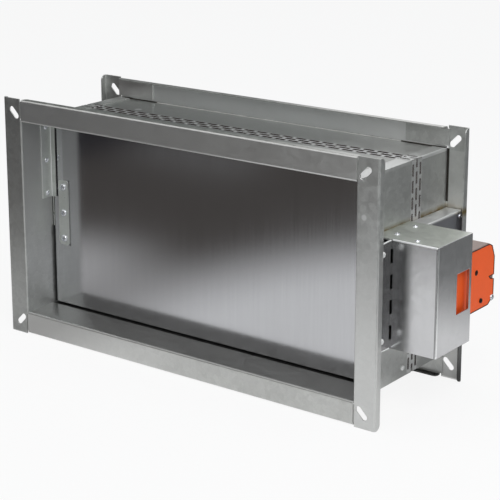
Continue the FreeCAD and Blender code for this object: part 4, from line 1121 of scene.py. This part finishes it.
def rivet_heads(node, name, way_of):
    """Blind rivet heads with their dimple, in place of a node's plain ones."""
    shape = bmesh.new()
    for low, high in islands(node):
        place, direction, radius, height = head_of(low, high, *way_of(low, high))
        lathe(shape, [(0, 0), *scaled(RIVET, radius, height)], place, direction)
    piece = finish_piece(shape, name, "casing", "plated_fasteners")
    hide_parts(node)


def screw_heads(heads, name, body, material):
    """Pan heads with a cross recess: place, direction, radius, height, shank and its length."""
    shape = bmesh.new()
    cutter = bmesh.new()
    for place, direction, radius, height, shank, length in heads:
        profile = [(0, -length), (shank, -length), (shank, 0)] if length else [(0, 0)]
        lathe(shape, [*profile, *scaled(PAN, radius, height)], place, direction)
        add_cross(cutter, place, direction, radius, height)
    piece = finish_piece(shape, name, body, material, 35)
    cut(piece, cutter)
    return piece


def add_bead(points, radius, name, material, steps=14):
    """A round bead along a line of points."""
    shape = bmesh.new()
    rings = []
    for n, point in enumerate(points):
        before = Vector(points[max(n - 1, 0)])
        after = Vector(points[min(n + 1, len(points) - 1)])
        rings.append(circle(shape, facing(point, after - before), radius, 0, steps))
    for low, high in zip(rings, rings[1:]):
        bridge(shape, low, high)
    shape.faces.new(rings[0][::-1])
    shape.faces.new(rings[-1])
    finish_piece(shape, name, "casing", material)


def outline(name):
    """The longest closed line of points round a node's outermost face on the drive side."""
    shape = node_shape(name)
    shape.normal_update()
    far = max(vert.co.x for vert in shape.verts) - 1e-5
    flat = [face for face in shape.faces if face.normal.x > 0.9 and face.verts[0].co.x > far]
    border = [edge for edge in shape.edges if sum(face in flat for face in edge.link_faces) == 1]
    loops = []
    while border:
        start, vert = border.pop(0).verts
        points = [start.co.copy()]
        while vert is not start:
            points.append(vert.co.copy())
            edge = next(other for other in vert.link_edges if other in border)
            border.remove(edge)
            vert = edge.other_vert(vert)
        loops.append(points)
    shape.free()
    return max(loops, key=lambda line: max(p.y for p in line) - min(p.y for p in line))


def add_plate_rim(radius=0.0007, steps=10):
    """The black edge of the drive's face plate, as a bead round its outline."""
    shape = bmesh.new()
    out = Vector(TO_DRIVE)
    points = outline("drive_face_plate")
    angles = [2 * math.pi * n / steps for n in range(steps)]
    rings = []
    for n, point in enumerate(points):
        along = (points[(n + 1) % len(points)] - points[n - 1]).normalized()
        side = along.cross(out)
        offsets = [radius * (math.cos(a) * out + math.sin(a) * side) for a in angles]
        rings.append([shape.verts.new(point + offset) for offset in offsets])
    for n, low in enumerate(rings):
        bridge(shape, low, rings[(n + 1) % len(rings)])
    finish_piece(shape, "drive_plate_rim", "casing", "black_screws")


def from_wall(low, high):
    """Axis and way of a stop rivet, whose head faces away from the wall that it sits on."""
    axis = 0 if high[0] - low[0] < 0.003 else 2
    return axis, (-1 if low[axis] > 0 else 1)


def from_lid(low, high):
    """Axis and way of a rivet on the cover's top or bottom plate."""
    return 2, (1 if low[2] > 0 else -1)


def from_console(low, high):
    """Axis and way of a rivet in the console's feet."""
    return 0, 1


def add_rivets():
    """Heads with a dimple for the rivets of the stops, the console and the cover."""
    rivet_heads("stop_rivets", "stop_rivet_heads", from_wall)
    rivet_heads("console_rivets", "console_rivet_heads", from_console)
    rivet_heads("cover_rivets", "cover_rivet_heads", from_lid)


def add_blade_bolts():
    """Bolt heads on the front straps, with their shanks through the blade."""
    radius = 0.00575
    height = 0.003
    shank = 0.003
    heads = []
    for low, high in islands("blade_bolts"):
        place = ((low[0] + high[0]) / 2, STRAP_FACE, (low[2] + high[2]) / 2)
        heads.append((place, TO_FRONT, radius, height, shank, high[1] - STRAP_FACE))
    piece = screw_heads(heads, "blade_bolt_heads", "blade", "plated_fasteners")
    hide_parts("blade_bolts")


def add_cover_screws():
    """The two screws of the cover's fixing tab, seated on its sheet."""
    radius = 0.004
    height = 0.0026
    shank = 0.002
    seat = CONSOLE_FACE + COVER_SHEET
    heads = []
    for low, high in islands("cover_screws"):
        place = (seat, (low[1] + high[1]) / 2, (low[2] + high[2]) / 2)
        heads.append((place, TO_DRIVE, radius, height, shank, seat - low[0]))
    piece = screw_heads(heads, "cover_screw_heads", "casing", "bright_hem")
    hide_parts("cover_screws")


def add_drive_screws(node, name, way, material):
    """Heads without a shank along X, in place of a node's plain ones."""
    heads = [(*head_of(low, high, 0, way), 0, 0) for low, high in islands(node)]
    piece = screw_heads(heads, name, "casing", material)
    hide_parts(node)


def add_single_screws():
    """Four small fasteners on the drive side, each seated on the face that it is in."""
    head = ((CONSOLE_FACE, 0.2212, 0.0602), TO_DRIVE, 0.0034, 0.0021, 0, 0)
    screw_heads([head], "console_end_screw", "casing", "plated_fasteners")
    head = ((WALL + SHEET, 0.1214, -0.1392), TO_DRIVE, 0.0038, 0.0022, 0, 0)
    screw_heads([head], "casing_side_screw", "casing", "bright_hem")
    head = ((DRIVE_FACE, 0.2044, -0.0412), TO_DRIVE, 0.0044, 0.0028, 0, 0)
    screw_heads([head], "drive_edge_screw", "casing", "plated_fasteners")
    plug = ((DRIVE_FACE, 0.16, 0.005), TO_DRIVE, 0.0038, 0.001, 0.003, 0.0012)
    screw_heads([plug], "drive_hole_plug", "casing", "black_screws")


def add_cover_hems():
    """Bright beads on the cover's top front fold and on both ends of its fixing tab, whitened as a
    painted highlight.
    """
    z = COVER_TOP - COVER_SHEET / 2
    points = [(x, COVER_FRONT, z) for x in (0.3305, 0.36, 0.3975)]
    add_bead(points, 0.0013, "cover_front_hem", "bright_hem")
    x = CONSOLE_FACE + 0.001
    bends = ((0.0395, 0.0008), (0.03, 0.0009), (0.0145, 0.0017))
    points = [(x, y, COVER_TOP - drop) for y, drop in bends]
    add_bead(points, 0.001, "cover_tab_hem", "bright_hem")
    bends = ((0.0395, 0.001), (0.03, 0.0011), (0.0145, 0.0017))
    points = [(x, y, COVER_FOOT + rise) for y, rise in bends]
    add_bead(points, 0.001, "cover_foot_hem", "bright_hem")


def add_stop_shade_beads():
    """Black beads along the free edge of the two upper stops: painted shade between each stop's leg
    and the blade.
    """
    for hand, side in (("left", -1), ("right", 1)):
        low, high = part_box("stop_upper_" + hand)
        edge = high[0] if side < 0 else low[0]
        x = edge - side * 0.0006
        points = [(x, 0.0611, z) for z in (low[2] + 0.001, 0.08, high[2] - 0.002)]
        add_bead(points, 0.0007, "stop_shade_bead_" + hand, "black_rubber")


make_camera()
make_world()
make_floor()
make_flags()
area_lamp("key", (1.9, -1.6, 2.3), (0.1, 0.1, 0), 1.2, 42)
area_lamp("overhead", (0.1, 0.1, 2.6), (0.1, 0.1, 0), 1.4, 10)

dress_left_wall()
dress_right_wall()
dress_top_wall()
dress_bottom_wall()
dress_stops()
dress_cover()
dress_console()
dress_lids()
dress_blade()
dress_bearings()
dress_small_parts()
dress_drive()

add_rivets()
add_blade_bolts()
add_cover_screws()
add_plate_rim()
add_drive_screws("drive_face_screws", "drive_face_heads", 1, "black_screws")
add_drive_screws("drive_mounting_screws", "drive_mounting_heads", -1, "plated_fasteners")
add_single_screws()
add_cover_hems()
add_stop_shade_beads()
